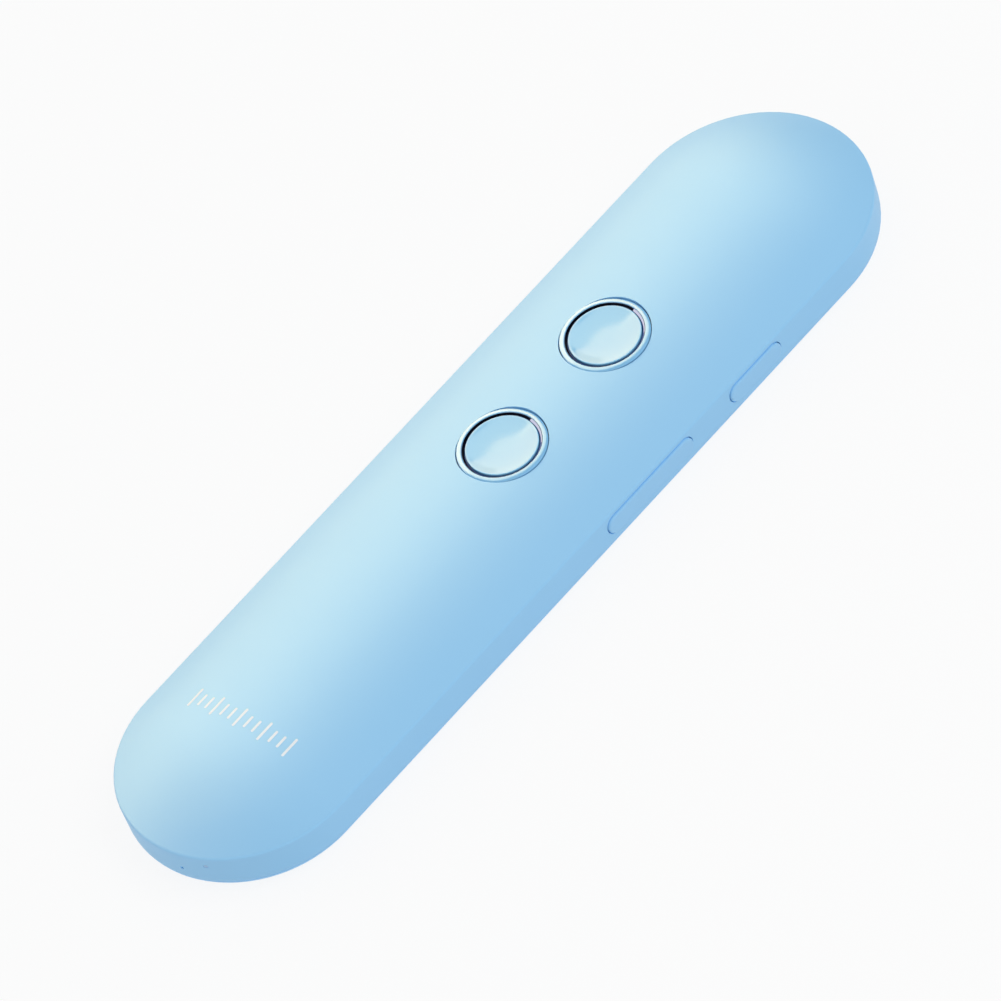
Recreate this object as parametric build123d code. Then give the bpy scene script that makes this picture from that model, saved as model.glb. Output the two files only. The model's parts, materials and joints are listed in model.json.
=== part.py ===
from build123d import *
from math import atan2, cos, radians, sin, sqrt, tan
import os

# Handheld voice translator, in millimetres.
# Origin: centre of the flat back face. +Z leaves the front face, +Y points to
# the top end (charging socket), +X is the side that carries the side keys.

# ---- Casing ------------------------------------------------------------------
LENGTH = 140.0
WIDTH = 35.0
HEIGHT = 11.8
CREASE_Z = 7.1          # the crease between the side wall and the domed front
CREASE_R = 0.5
WALL_TAPER = 2.0        # degrees: the side wall leans in towards the back
BASE_EDGE_R = 3.0       # rounding between the side wall and the flat back
WALL = 1.4
FLOOR = 1.3             # thickness of the back cover's flat
PARTING_Z = 2.0         # the front shell's lower edge
PARTING_GAP = 0.1
LIP_THICKNESS = 0.7     # the back cover's lip, inside the front shell's wall
LIP_GAP = 0.1
LIP_TO_KEY = 0.2        # from the lip up to the side keys' flanges
ROOT = 0.1              # how far ribs, posts and bosses run into their wall

# ---- Snap tabs along the long sides ------------------------------------------
SNAP_LENGTH = 6.0
SNAP_TOP_Z = 4.4
SNAP_BEAD = 0.25
SNAP_BEAD_Z = 3.6
SNAP_BEAD_HEIGHT = 0.4
SNAP_POCKET_GAP = 0.1
SNAP_MIDDLE_Y = -14.0
SNAP_END_GAP = 0.3      # from the outer tabs to the start of the round ends

# ---- Front buttons -----------------------------------------------------------
UPPER_BUTTON_Y = 24.15
LOWER_BUTTON_Y = 2.7
SPOT_FACE_R = 6.43      # flat round seat cut into the dome
SPOT_FACE_SUNK = 0.14   # below the dome at the seat's sides
BEZEL_OUTER_R = 6.29
BEZEL_GROOVE = 0.5      # depth below the seat of the fine gap round the bezel
BEZEL_CREST = 0.58      # how far the bezel stands above its seat
BEZEL_CREST_AT = 0.25   # place of the crest, as a share of the bezel's width
BEZEL_BULGE = 0.72      # share of the width and of the fall where the crown bulges most
BEZEL_LIP = 0.06        # from the crest down to its inner edge
BEZEL_RIM = 0.34        # height of its outer wall
RING_OUTER_R = 5.5      # bright ring between bezel and cap
RING_INNER_R = 5.14
RING_RISE = 0.54        # top of the ring above the seat
RING_SLOPE = 0.22       # how far its face falls towards the cap
RING_DEPTH = 0.67       # from the seat down to the ledge that carries the ring
SEAT_GAP = 0.04
CAP_GAP = 0.09
CAP_RIM_RISE = 0.5      # rim of the cap above the seat
CAP_RIM_WIDTH = 0.3
CAP_DISH = 0.35
CAP_BORE_GAP = 0.25
FLANGE_LIP = 0.9        # the cap's flange, wider than the cap
FLANGE_THICKNESS = 0.5
FLANGE_GAP = 0.05
BUTTON_BOSS_R = 7.2
BUTTON_BOSS_DEPTH = 1.56  # from the seat down to the boss's flat end
BUTTON_TRAVEL = 0.3
PAD_R = 3.2
PAD_THICKNESS = 0.65

# ---- Push switch under each front button -------------------------------------
SWITCH_WIDTH = 4.5
SWITCH_STEM_R = 1.1
SWITCH_STEM_RISE = 0.5
SWITCH_STEM_HIDDEN = 0.6
STEM_GAP = 0.1

# ---- Side keys ---------------------------------------------------------------
KEY_HEIGHT = 3.0
KEY_TO_CREASE = 2.3     # from the crease down to the middle of the keys
KEY_PROUD = 0.3
KEY_GAP = 0.15
KEY_EDGE_R = 0.28
KEY_FLANGE_LIP = 0.5
KEY_FLANGE_THICKNESS = 0.8
KEY_FLANGE_GAP = 0.12
VOLUME_Y = 10.9
VOLUME_LENGTH = 17.4
VOLUME_TILT = 1.8       # degrees either way
POWER_Y = 32.9
POWER_LENGTH = 10.4
POWER_TRAVEL = 0.25
NUB_R = 0.9
NUB_GAP = 0.05
PIVOT_R = 0.6
PIVOT_HEIGHT = 2.4
PIVOT_RIB_THICKNESS = 0.54
PIVOT_RIB_WIDTH = 2.0
PIVOT_RIB_GAP = 0.3     # from the rib to the rocker's flange

# ---- Side push switches, under the board's edge ------------------------------
SIDE_SWITCH_LENGTH = 4.7
SIDE_SWITCH_DEPTH = 2.8
SIDE_SWITCH_HEIGHT = 1.7
SIDE_SWITCH_OVERHANG = 0.2
SIDE_STEM_R = 0.65
SIDE_STEM_RISE = 0.8
SIDE_STEM_HIDDEN = 0.9
VOLUME_SWITCH_INSET = 3.1  # from the rocker's end to the middle of its switch

# ---- Charging socket, top end ------------------------------------------------
SOCKET_WIDTH = 8.94
SOCKET_HEIGHT = 3.16
SOCKET_SKIN = 0.3
SOCKET_DEPTH = 7.3
SOCKET_BACK = 0.8
SOCKET_DROP = 0.8       # from the board's underside to the middle of the socket
SOCKET_INSET = 0.4      # how far its mouth lies below the end wall's face
SOCKET_GAP = 0.15
SOCKET_WING_REACH = 1.5
SOCKET_WING_LENGTH = 1.6
SOCKET_WING_THICKNESS = 0.25
TONGUE_WIDTH = 6.7
TONGUE_THICKNESS = 0.7
TONGUE_LENGTH = 5.4
TONGUE_CHAMFER = 0.14
CONTACT_COUNT = 12
CONTACT_PITCH = 0.5
CONTACT_WIDTH = 0.25
CONTACT_LENGTH = 3.2
CONTACT_THICKNESS = 0.05

# ---- Main board --------------------------------------------------------------
BOARD_DEPTH = 5.4       # from the crest of the dome down to the board
BOARD_THICKNESS = 1.0
BOARD_SIDE_GAP = 2.9    # from the side wall to the board's long edge
BOARD_START_Y = -6.0
BOARD_END_GAP = 2.6     # from the board's end to the end wall's inner face
BOARD_CORNER_GAP = 0.8  # from its round corners to the wall's inner face
SHIELD_WIDTH = 16.0
SHIELD_LENGTH = 16.0
SHIELD_HEIGHT = 1.9
SHIELD_SKIN = 0.3
SHIELD_TO_ANTENNA = 3.3
CHIP_SIZE = 6.5
CHIP_HEIGHT = 0.9
CHIP_TO_CAN = 1.55      # from the chip to the can's side
MEMORY_WIDTH = 4.0
MEMORY_LENGTH = 5.0
MEMORY_HEIGHT = 0.8
MEMORY_TO_CAN = 2.0
CRYSTAL_WIDTH = 3.2
CRYSTAL_LENGTH = 1.6
CRYSTAL_HEIGHT = 0.7
CRYSTAL_TO_MEMORY = 0.7
AMPLIFIER_SIZE = 2.6
COIL_SIZE = 3.0
COIL_HEIGHT = 1.2
CHARGER_SIZE = 3.0
POWER_PARTS_X = 4.0     # amplifier and coil, either side of the middle line
ANTENNA_WIDTH = 9.0
ANTENNA_LENGTH = 2.2
ANTENNA_HEIGHT = 1.2
ANTENNA_TO_SOCKET = 3.5
SMALL_PART_WIDTH = 1.6
SMALL_PART_LENGTH = 0.8
SMALL_PART_HEIGHT = 0.6
SMALL_PART_PITCH = 2.2
SMALL_PART_ROWS = 7
SMALL_PART_GAP = 1.6    # from the shield can

# ---- Screws ------------------------------------------------------------------
CASE_SCREW_INSET = 7.3   # from the casing's side
CASE_SCREW_BEYOND = 6.6  # past the centre of each round end
CASE_SCREW_R = 0.7
CASE_HEAD_R = 1.5
CASE_HEAD_HEIGHT = 0.8
CASE_HEAD_SUNK = 0.15
CASE_BOSS_R = 2.1
CASE_PAD_R = 2.7
CASE_PAD_Z = 2.2
CASE_SCREW_BITE = 4.0
BOARD_SCREW_EDGE = 2.8   # from the board's long edge to the screw
BOARD_SCREW_R = 0.6
BOARD_HEAD_R = 1.25
BOARD_HEAD_HEIGHT = 0.6
BOARD_BOSS_R = 1.9
BOARD_SCREW_BITE = 1.5
THREAD_GAP = 0.05
HOLE_GAP = 0.15
BOSS_GAP = 0.3
CROSS_WIDTH = 0.35
CROSS_SPAN = 1.7
CROSS_DEPTH = 0.4

# ---- Battery -----------------------------------------------------------------
BATTERY_SIDE_GAP = 2.6   # from the side wall to the cell
BATTERY_THICKNESS = 5.4
BATTERY_TO_MIC_BOARD = 2.8
BATTERY_BOARD_GAP = 3.5  # from the cell to the main board
BATTERY_EDGE_R = 1.2
BATTERY_PAD = 0.3
BATTERY_PAD_MARGIN = 3.0
GUARD_MARGIN = 2.5       # from the cell's side to the guard board's
GUARD_THICKNESS = 1.0
GUARD_HEIGHT = 4.0
GUARD_GAP = 0.2
GUARD_RISE = 0.9
BATTERY_RIB_THICKNESS = 0.5
BATTERY_RIB_GAP = 0.3
BATTERY_RIB_Z = 3.0
BATTERY_RIB_MARGIN = 1.5
LEAD_R = 0.35
LEAD_PITCH = 1.5
LEAD_BEND_R = 0.8
LEAD_EDGE_GAP = 0.85    # clear of the main board's edge
HEADER_FROM_EDGE = 4.7
HEADER_WIDTH = 5.6
HEADER_LENGTH = 3.6
HEADER_HEIGHT = 1.7
HEADER_WALL = 0.45
HEADER_FLOOR = 0.3
HEADER_OFFSET = 1.0     # from the board's edge
PLUG_GAP = 0.05

# ---- Speaker -----------------------------------------------------------------
SPEAKER_TO_SOCKET = 5.2
SPEAKER_R = 10.0
SPEAKER_WALL = 1.4
SPEAKER_TO_BOARD = 0.9
SPEAKER_BACK = 0.6
MAGNET_R = 5.5
MAGNET_TOP_GAP = 0.5    # below the board
MAGNET_LIFT = 0.9       # above the gasket
MAGNET_BACK = 0.6       # steel above the coil's gap
GAP_OUTER_R = 4.7
GAP_INNER_R = 3.7
VOICE_COIL_R = 4.4
VOICE_COIL_SKIN = 0.4
VOICE_COIL_HEIGHT = 1.2
CONE_THICKNESS = 0.25
CONE_RISE = 0.35
GASKET_THICKNESS = 0.4
GASKET_INNER_R = 8.1
MESH_R = 7.7
MESH_THICKNESS = 0.15
SPEAKER_RING_GAP = 0.15
SPEAKER_RING_WALL = 0.8
SPEAKER_RING_HEIGHT = 1.6
TERMINAL_WIDTH = 5.0
TERMINAL_REACH = 0.8
TERMINAL_HEIGHT = 1.6
SPEAKER_LEAD_R = 0.3
SPEAKER_LEAD_PITCH = 2.4
SPEAKER_LEAD_RUN = 1.3
SPEAKER_LEAD_BEND_R = 0.8
GRILLE_HOLE_R = 0.55
GRILLE_PITCH = 2.4
GRILLE_RINGS = 2

# ---- Microphone end, bottom --------------------------------------------------
MIC_X = 3.3
MIC_Z = 4.05
MIC_HOLE_R = 0.25
MIC_R = 2.0
MIC_LENGTH = 1.3
MIC_BOOT_WALL = 0.5
MIC_BOOT_HOLE_R = 0.5
MIC_TO_WALL = 1.2       # from the capsule's face to the wall
BOOT_FIT = 0.03
LED_X = 7.1
LED_Z = 5.5
LED_WIDTH = 1.6
LED_LENGTH = 1.0
LED_HEIGHT = 0.9
LIGHT_PIPE_R = 0.28
LIGHT_PIPE_GAP = 0.05
LIGHT_PIPE_SUNK = 0.03
MIC_BOARD_THICKNESS = 0.8
MIC_BOARD_LEFT = -7.0
MIC_BOARD_RIGHT = 8.6
MIC_BOARD_LENGTH = 8.2
MIC_BOARD_GAP = 0.15
MIC_BOARD_CORNER_GAP = 1.1
MIC_POST_R = 0.9
MIC_POST_PLACES = ((-5.0, 5.0), (6.4, 4.2))  # x, and how far from the board's outer edge

# ---- Flex cable between the two boards ---------------------------------------
FLEX_WIDTH = 3.0
FLEX_THICKNESS = 0.15
FLEX_CLEARANCE = 0.05
FLEX_CONNECTOR_WIDTH = 4.4
FLEX_CONNECTOR_LENGTH = 2.4
FLEX_CONNECTOR_HEIGHT = 0.9
FLEX_CONNECTOR_FROM_EDGE = 1.4
FLEX_RAMP = 1.6

# ---- Worked out from the sizes above -----------------------------------------
HALF = WIDTH / 2
END_Y = LENGTH / 2 - HALF            # centre of each round end
DOME_RISE = HEIGHT - CREASE_Z
DOME_R = (HALF**2 + DOME_RISE**2) / (2 * DOME_RISE)
DOME_CENTRE_Z = HEIGHT - DOME_R
LEAN = tan(radians(WALL_TAPER))


def wall_x(z, inset=0.0):
    """Half the casing's width at a height, or of the same shape inset."""
    return HALF - (CREASE_Z - z) * LEAN - inset / cos(radians(WALL_TAPER))


def dome_z(radius):
    """Height of the dome at a distance from the middle line."""
    return DOME_CENTRE_Z + sqrt(DOME_R**2 - radius**2)


KEY_Z = CREASE_Z - KEY_TO_CREASE
KEY_FLANGE_Z = KEY_Z - KEY_HEIGHT / 2 - KEY_FLANGE_LIP
LIP_TOP_Z = KEY_FLANGE_Z - LIP_TO_KEY
BOARD_TOP_Z = HEIGHT - BOARD_DEPTH
BOARD_Z = BOARD_TOP_Z - BOARD_THICKNESS
BOARD_HALF_WIDTH = HALF - WALL - BOARD_SIDE_GAP
SPOT_FACE_Z = dome_z(SPOT_FACE_R) - SPOT_FACE_SUNK
RING_LEDGE_Z = SPOT_FACE_Z - RING_DEPTH
BUTTON_BOSS_Z = SPOT_FACE_Z - BUTTON_BOSS_DEPTH
FLANGE_TOP_Z = BUTTON_BOSS_Z - FLANGE_GAP
FLANGE_BOTTOM_Z = FLANGE_TOP_Z - FLANGE_THICKNESS
STEM_TOP_Z = FLANGE_BOTTOM_Z - PAD_THICKNESS
SWITCH_TOP_Z = STEM_TOP_Z - SWITCH_STEM_RISE
CAP_R = RING_INNER_R - CAP_GAP
CASE_SCREW_X = HALF - CASE_SCREW_INSET
CASE_SCREW_Y = END_Y + CASE_SCREW_BEYOND
CASE_SCREW_PLACES = [(x, y) for x in (-CASE_SCREW_X, CASE_SCREW_X) for y in (-CASE_SCREW_Y, CASE_SCREW_Y)]
CASE_HEAD_TOP_Z = CASE_HEAD_SUNK + CASE_HEAD_HEIGHT
SOCKET_Z = BOARD_Z - SOCKET_DROP
SIDE_SWITCH_Z = BOARD_Z - SIDE_SWITCH_HEIGHT / 2
SIDE_SWITCH_FACE_X = BOARD_HALF_WIDTH + SIDE_SWITCH_OVERHANG
SIDE_STEM_TIP_X = SIDE_SWITCH_FACE_X + SIDE_STEM_RISE
BATTERY_WIDTH = 2 * (HALF - WALL - BATTERY_SIDE_GAP)
BATTERY_END_Y = BOARD_START_Y - BATTERY_BOARD_GAP
BATTERY_Z = FLOOR + BATTERY_PAD
BATTERY_TOP_Z = BATTERY_Z + BATTERY_THICKNESS
VOLUME_SWITCH_REACH = VOLUME_LENGTH / 2 - VOLUME_SWITCH_INSET
VOLUME_SWITCH_PLACES = (VOLUME_Y + VOLUME_SWITCH_REACH, VOLUME_Y - VOLUME_SWITCH_REACH)


# ---- Shapes used throughout --------------------------------------------------
def box(x0, x1, y0, y1, z0, z1):
    """A box between two corners."""
    return Pos((x0 + x1) / 2, (y0 + y1) / 2, (z0 + z1) / 2) * Box(x1 - x0, y1 - y0, z1 - z0)


def chip(width, length, height, x, y, z):
    """A flat part that sits on a surface at z, centred on x and y."""
    return box(x - width / 2, x + width / 2, y - length / 2, y + length / 2, z, z + height)


def disc(radius, z0, z1, x=0.0, y=0.0):
    """A round bar along Z."""
    return Pos(x, y, (z0 + z1) / 2) * Cylinder(radius, z1 - z0)


def rod_x(radius, x0, x1, y, z):
    """A round bar along X."""
    return Pos((x0 + x1) / 2, y, z) * Rot(0, 90, 0) * Cylinder(radius, x1 - x0)


def rod_y(radius, y0, y1, x, z):
    """A round bar along Y."""
    return Pos(x, (y0 + y1) / 2, z) * Rot(90, 0, 0) * Cylinder(radius, y1 - y0)


def stadium_x(length, height, x0, x1, y, z):
    """A bar along X whose section is a rectangle with round ends."""
    plane = Plane(origin=(x0, y, z), x_dir=(0, 1, 0), z_dir=(1, 0, 0))
    return extrude(plane * SlotOverall(length, height), x1 - x0)


def stadium_y(width, height, y0, y1, x, z):
    """The same along Y."""
    plane = Plane(origin=(x, y1, z), x_dir=(1, 0, 0), z_dir=(0, -1, 0))
    return extrude(plane * SlotOverall(width, height), y1 - y0)


def turned(*edges):
    """A solid turned about Z from the outline of half its section."""
    return revolve(make_face(list(edges)), Axis.Z, 360)


def wire_lead(radius, bend, *points):
    """A round wire along straight runs with rounded bends."""
    route = FilletPolyline(*points, radius=bend)
    start = Plane(origin=route @ 0, z_dir=route % 0)
    return sweep(start * Circle(radius), path=route)


def casing(inset=0.0, floor=None):
    """The casing's outer form as a solid, or a smaller copy of it for a wall."""
    floor_z = inset if floor is None else floor
    radius = DOME_R - inset
    foot_x = wall_x(0.0, inset)
    # The height where the inset wall meets the inset dome.
    a = 1 + LEAN**2
    b = 2 * (foot_x * LEAN - DOME_CENTRE_Z)
    c = foot_x**2 + DOME_CENTRE_Z**2 - radius**2
    crease_z = (-b + sqrt(b**2 - 4 * a * c)) / (2 * a)
    crease_x = wall_x(crease_z, inset)
    half_angle = atan2(crease_x, crease_z - DOME_CENTRE_Z) / 2
    bottom = (0, 0, floor_z)
    foot = (wall_x(floor_z, inset), 0, floor_z)
    crease = (crease_x, 0, crease_z)
    shoulder = (radius * sin(half_angle), 0, DOME_CENTRE_Z + radius * cos(half_angle))
    apex = (0, 0, DOME_CENTRE_Z + radius)
    dome = ThreePointArc(crease, shoulder, apex)
    half = make_face([Line(bottom, foot), Line(foot, crease), dome, Line(apex, bottom)])
    half = fillet(half.vertices().sort_by_distance(foot)[0], max(BASE_EDGE_R - inset, CREASE_R))
    half = fillet(half.vertices().sort_by_distance(crease)[0], CREASE_R)
    end = revolve(half, Axis.Z, 180)
    middle = extrude(half + mirror(half, Plane.YZ), END_Y, dir=(0, 1, 0), both=True)
    return middle + Pos(0, END_Y, 0) * end + Pos(0, -END_Y, 0) * Rot(0, 0, 180) * end


def slab(solid, z0, z1):
    """What lies between two heights."""
    return solid & box(-WIDTH, WIDTH, -LENGTH, LENGTH, z0, z1)


def screw(x, y, head_z, head_height, head_r, shank_r, tip_z):
    """A screw driven upwards, with a cross recess in its head."""
    body = disc(head_r, head_z, head_z + head_height, x, y) + disc(shank_r, head_z, tip_z, x, y)
    for width, length in ((CROSS_WIDTH, CROSS_SPAN), (CROSS_SPAN, CROSS_WIDTH)):
        body -= chip(width, length, 2 * CROSS_DEPTH, x, y, head_z - CROSS_DEPTH)
    return body


# ---- Side keys ---------------------------------------------------------------
def key_flange_x(gap):
    """Outer face of a side key's flange, a gap inside the wall."""
    return wall_x(KEY_FLANGE_Z, WALL) - gap


VOLUME_SWING = (VOLUME_LENGTH / 2 + KEY_FLANGE_LIP) * sin(radians(VOLUME_TILT))
VOLUME_FLANGE_X = key_flange_x(KEY_FLANGE_GAP + VOLUME_SWING) - KEY_FLANGE_THICKNESS
POWER_FLANGE_X = key_flange_x(KEY_FLANGE_GAP) - KEY_FLANGE_THICKNESS


def side_key(length, y, inner_x):
    """A key that fills its slot, stands proud of the wall and has a flange inside."""
    flange_length = length + 2 * KEY_FLANGE_LIP
    flange_height = KEY_HEIGHT + 2 * KEY_FLANGE_LIP
    key = stadium_x(length, KEY_HEIGHT, inner_x, HALF + 2 * KEY_PROUD, y, KEY_Z) & casing(-KEY_PROUD)
    key = fillet(key.faces().sort_by(Axis.X)[-1].edges(), KEY_EDGE_R)
    return key + stadium_x(flange_length, flange_height, inner_x, inner_x + KEY_FLANGE_THICKNESS, y, KEY_Z)


def key_slot(length, y):
    """The slot in the wall that a side key stands in."""
    height = KEY_HEIGHT + 2 * KEY_GAP
    return stadium_x(length + 2 * KEY_GAP, height, HALF - 2 * WALL, HALF + WALL, y, KEY_Z)


def key_pocket(length, y):
    """Room for a side key's flange in the corner under the dome."""
    spread = 2 * (KEY_FLANGE_LIP + KEY_GAP)
    inner_face = wall_x(KEY_Z, WALL)
    return stadium_x(length + spread, KEY_HEIGHT + spread, inner_face - 2 * WALL, inner_face, y, KEY_Z)


def volume_rocker():
    key = side_key(VOLUME_LENGTH, VOLUME_Y, VOLUME_FLANGE_X)
    key += disc(PIVOT_R, KEY_Z - PIVOT_HEIGHT / 2, KEY_Z + PIVOT_HEIGHT / 2, VOLUME_FLANGE_X, VOLUME_Y)
    for y in VOLUME_SWITCH_PLACES:
        key += rod_x(NUB_R, SIDE_STEM_TIP_X + NUB_GAP, VOLUME_FLANGE_X + ROOT, y, SIDE_SWITCH_Z)
    return key


def power_button():
    key = side_key(POWER_LENGTH, POWER_Y, POWER_FLANGE_X)
    return key + rod_x(NUB_R, SIDE_STEM_TIP_X, POWER_FLANGE_X + ROOT, POWER_Y, SIDE_SWITCH_Z)


def side_switch_body(y):
    x1 = SIDE_SWITCH_FACE_X
    x0 = x1 - SIDE_SWITCH_DEPTH
    half = SIDE_SWITCH_LENGTH / 2
    body = box(x0, x1, y - half, y + half, BOARD_Z - SIDE_SWITCH_HEIGHT, BOARD_Z)
    well_x = x1 - SIDE_STEM_HIDDEN - POWER_TRAVEL - 2 * STEM_GAP
    return body - rod_x(SIDE_STEM_R + STEM_GAP, well_x, x1 + 1, y, SIDE_SWITCH_Z)


def side_switch_stem(y):
    return rod_x(SIDE_STEM_R, SIDE_SWITCH_FACE_X - SIDE_STEM_HIDDEN, SIDE_STEM_TIP_X, y, SIDE_SWITCH_Z)


# ---- Where things lie along the length ---------------------------------------
SOCKET_MOUTH_Y = END_Y + wall_x(SOCKET_Z) - SOCKET_INSET
SOCKET_START_Y = SOCKET_MOUTH_Y - SOCKET_DEPTH
MIC_WALL_Y = -END_Y - sqrt(wall_x(MIC_Z, WALL) ** 2 - MIC_X**2)
MIC_FACE_Y = MIC_WALL_Y + MIC_TO_WALL
MIC_BACK_Y = MIC_FACE_Y + MIC_LENGTH
MIC_BOARD_START_Y = MIC_BACK_Y + MIC_BOARD_GAP
MIC_BOARD_TOP_Z = LED_Z - LED_HEIGHT / 2
MIC_BOARD_Z = MIC_BOARD_TOP_Z - MIC_BOARD_THICKNESS
BATTERY_START_Y = MIC_BOARD_START_Y + MIC_BOARD_LENGTH + BATTERY_TO_MIC_BOARD
SPEAKER_Y = SOCKET_START_Y - SPEAKER_TO_SOCKET - SPEAKER_R
ANTENNA_Y = SOCKET_START_Y - ANTENNA_TO_SOCKET - ANTENNA_LENGTH / 2
SHIELD_Y = ANTENNA_Y - (ANTENNA_LENGTH + SHIELD_LENGTH) / 2 - SHIELD_TO_ANTENNA
SHIELD_START_Y = SHIELD_Y - SHIELD_LENGTH / 2
BETWEEN_BUTTONS_Y = (UPPER_BUTTON_Y + LOWER_BUTTON_Y) / 2
BEFORE_SHIELD_Y = (UPPER_BUTTON_Y + SWITCH_WIDTH / 2 + SHIELD_START_Y) / 2
SNAP_REACH_Y = END_Y - SNAP_LENGTH / 2 - SNAP_END_GAP
SNAP_PLACES = (-SNAP_REACH_Y, SNAP_MIDDLE_Y, SNAP_REACH_Y)
BOARD_SCREW_X = BOARD_HALF_WIDTH - BOARD_SCREW_EDGE
BOARD_SCREW_PLACES = (
    (-BOARD_SCREW_X, BETWEEN_BUTTONS_Y),
    (BOARD_SCREW_X, (VOLUME_SWITCH_PLACES[0] + POWER_Y) / 2),
)


# ---- Casing parts ------------------------------------------------------------
def inner_boss(radius, z0, x, y):
    """A boss that hangs from the dome's inner face down to z0."""
    return disc(radius, z0, HEIGHT, x, y) & casing(WALL / 2)


def snap_place(y, sign, margin=0.0):
    """The stretch of side wall that one snap tab takes up."""
    reach = SNAP_LENGTH / 2 + margin
    x0, x1 = sorted((sign * HALF / 2, sign * WIDTH))
    return box(x0, x1, y - reach, y + reach, FLOOR, SNAP_TOP_Z + margin)


def snap_bead(y, sign, margin=0.0):
    """The bead on a snap tab, or the pocket that it clicks into."""
    height = SNAP_BEAD_HEIGHT / 2 + margin
    band = slab(casing(WALL + LIP_GAP - SNAP_BEAD - margin), SNAP_BEAD_Z - height, SNAP_BEAD_Z + height)
    reach = SNAP_LENGTH / 2 + margin
    face_x = wall_x(SNAP_BEAD_Z, WALL + LIP_GAP + LIP_THICKNESS / 2)
    x0, x1 = sorted((sign * face_x, sign * WIDTH))
    return band & box(x0, x1, y - reach, y + reach, 0, HEIGHT)


def pivot_rib():
    """The rib behind the volume rocker, with the groove that its round pivot turns in."""
    groove_r = PIVOT_R + NUB_GAP
    x0 = VOLUME_FLANGE_X - groove_r - PIVOT_RIB_THICKNESS
    x1 = VOLUME_FLANGE_X - PIVOT_RIB_GAP
    half = PIVOT_RIB_WIDTH / 2
    z0 = KEY_Z - PIVOT_HEIGHT / 2
    rib = box(x0, x1, VOLUME_Y - half, VOLUME_Y + half, z0, HEIGHT) & casing(WALL / 2)
    return rib - disc(groove_r, z0 - 1, KEY_Z + PIVOT_HEIGHT / 2 + ROOT, VOLUME_FLANGE_X, VOLUME_Y)


def front_shell():
    shell = slab(casing() - casing(WALL, FLOOR), PARTING_Z, HEIGHT + 1)
    for y in (UPPER_BUTTON_Y, LOWER_BUTTON_Y):
        shell += inner_boss(BUTTON_BOSS_R, BUTTON_BOSS_Z, 0, y)
    for x, y in CASE_SCREW_PLACES:
        shell += inner_boss(CASE_BOSS_R, CASE_PAD_Z, x, y)
        shell -= disc(CASE_SCREW_R + THREAD_GAP, 0, CASE_HEAD_TOP_Z + CASE_SCREW_BITE + 1, x, y)
    for x, y in BOARD_SCREW_PLACES:
        shell += inner_boss(BOARD_BOSS_R, BOARD_TOP_Z, x, y)
        shell -= disc(BOARD_SCREW_R + THREAD_GAP, BOARD_Z, BOARD_TOP_Z + BOARD_SCREW_BITE, x, y)
    for y in (UPPER_BUTTON_Y, LOWER_BUTTON_Y):
        shell -= disc(SPOT_FACE_R, SPOT_FACE_Z, HEIGHT + 1, 0, y)
        shell -= tube(SPOT_FACE_R, BEZEL_OUTER_R, SPOT_FACE_Z - BEZEL_GROOVE, HEIGHT, 0, y)
        shell -= disc(RING_OUTER_R + SEAT_GAP, RING_LEDGE_Z, HEIGHT, 0, y)
        shell -= disc(CAP_R + CAP_BORE_GAP, BUTTON_BOSS_Z - 1, HEIGHT, 0, y)
    for length, y in ((VOLUME_LENGTH, VOLUME_Y), (POWER_LENGTH, POWER_Y)):
        shell -= key_slot(length, y)
        shell -= key_pocket(length, y)
    shell += pivot_rib()
    socket_width = SOCKET_WIDTH + 2 * SOCKET_GAP
    socket_height = SOCKET_HEIGHT + 2 * SOCKET_GAP
    shell -= stadium_y(socket_width, socket_height, SOCKET_START_Y, LENGTH / 2 + 1, 0, SOCKET_Z)
    shell -= rod_y(MIC_HOLE_R, -LENGTH / 2 - 1, MIC_FACE_Y, MIC_X, MIC_Z)
    shell -= rod_y(LIGHT_PIPE_R + LIGHT_PIPE_GAP, -LENGTH / 2 - 1, MIC_BACK_Y, LED_X, LED_Z)
    for y in SNAP_PLACES:
        for sign in (-1, 1):
            shell -= snap_bead(y, sign, SNAP_POCKET_GAP)
    return shell


def grille_holes():
    """Sound holes in rings of six, twelve and so on round a middle one."""
    holes = disc(GRILLE_HOLE_R, -1, FLOOR + ROOT, 0, SPEAKER_Y)
    for ring in range(1, GRILLE_RINGS + 1):
        for place in PolarLocations(ring * GRILLE_PITCH, 6 * ring):
            spot = place.position
            holes += disc(GRILLE_HOLE_R, -1, FLOOR + ROOT, spot.X, SPEAKER_Y + spot.Y)
    return holes


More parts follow.
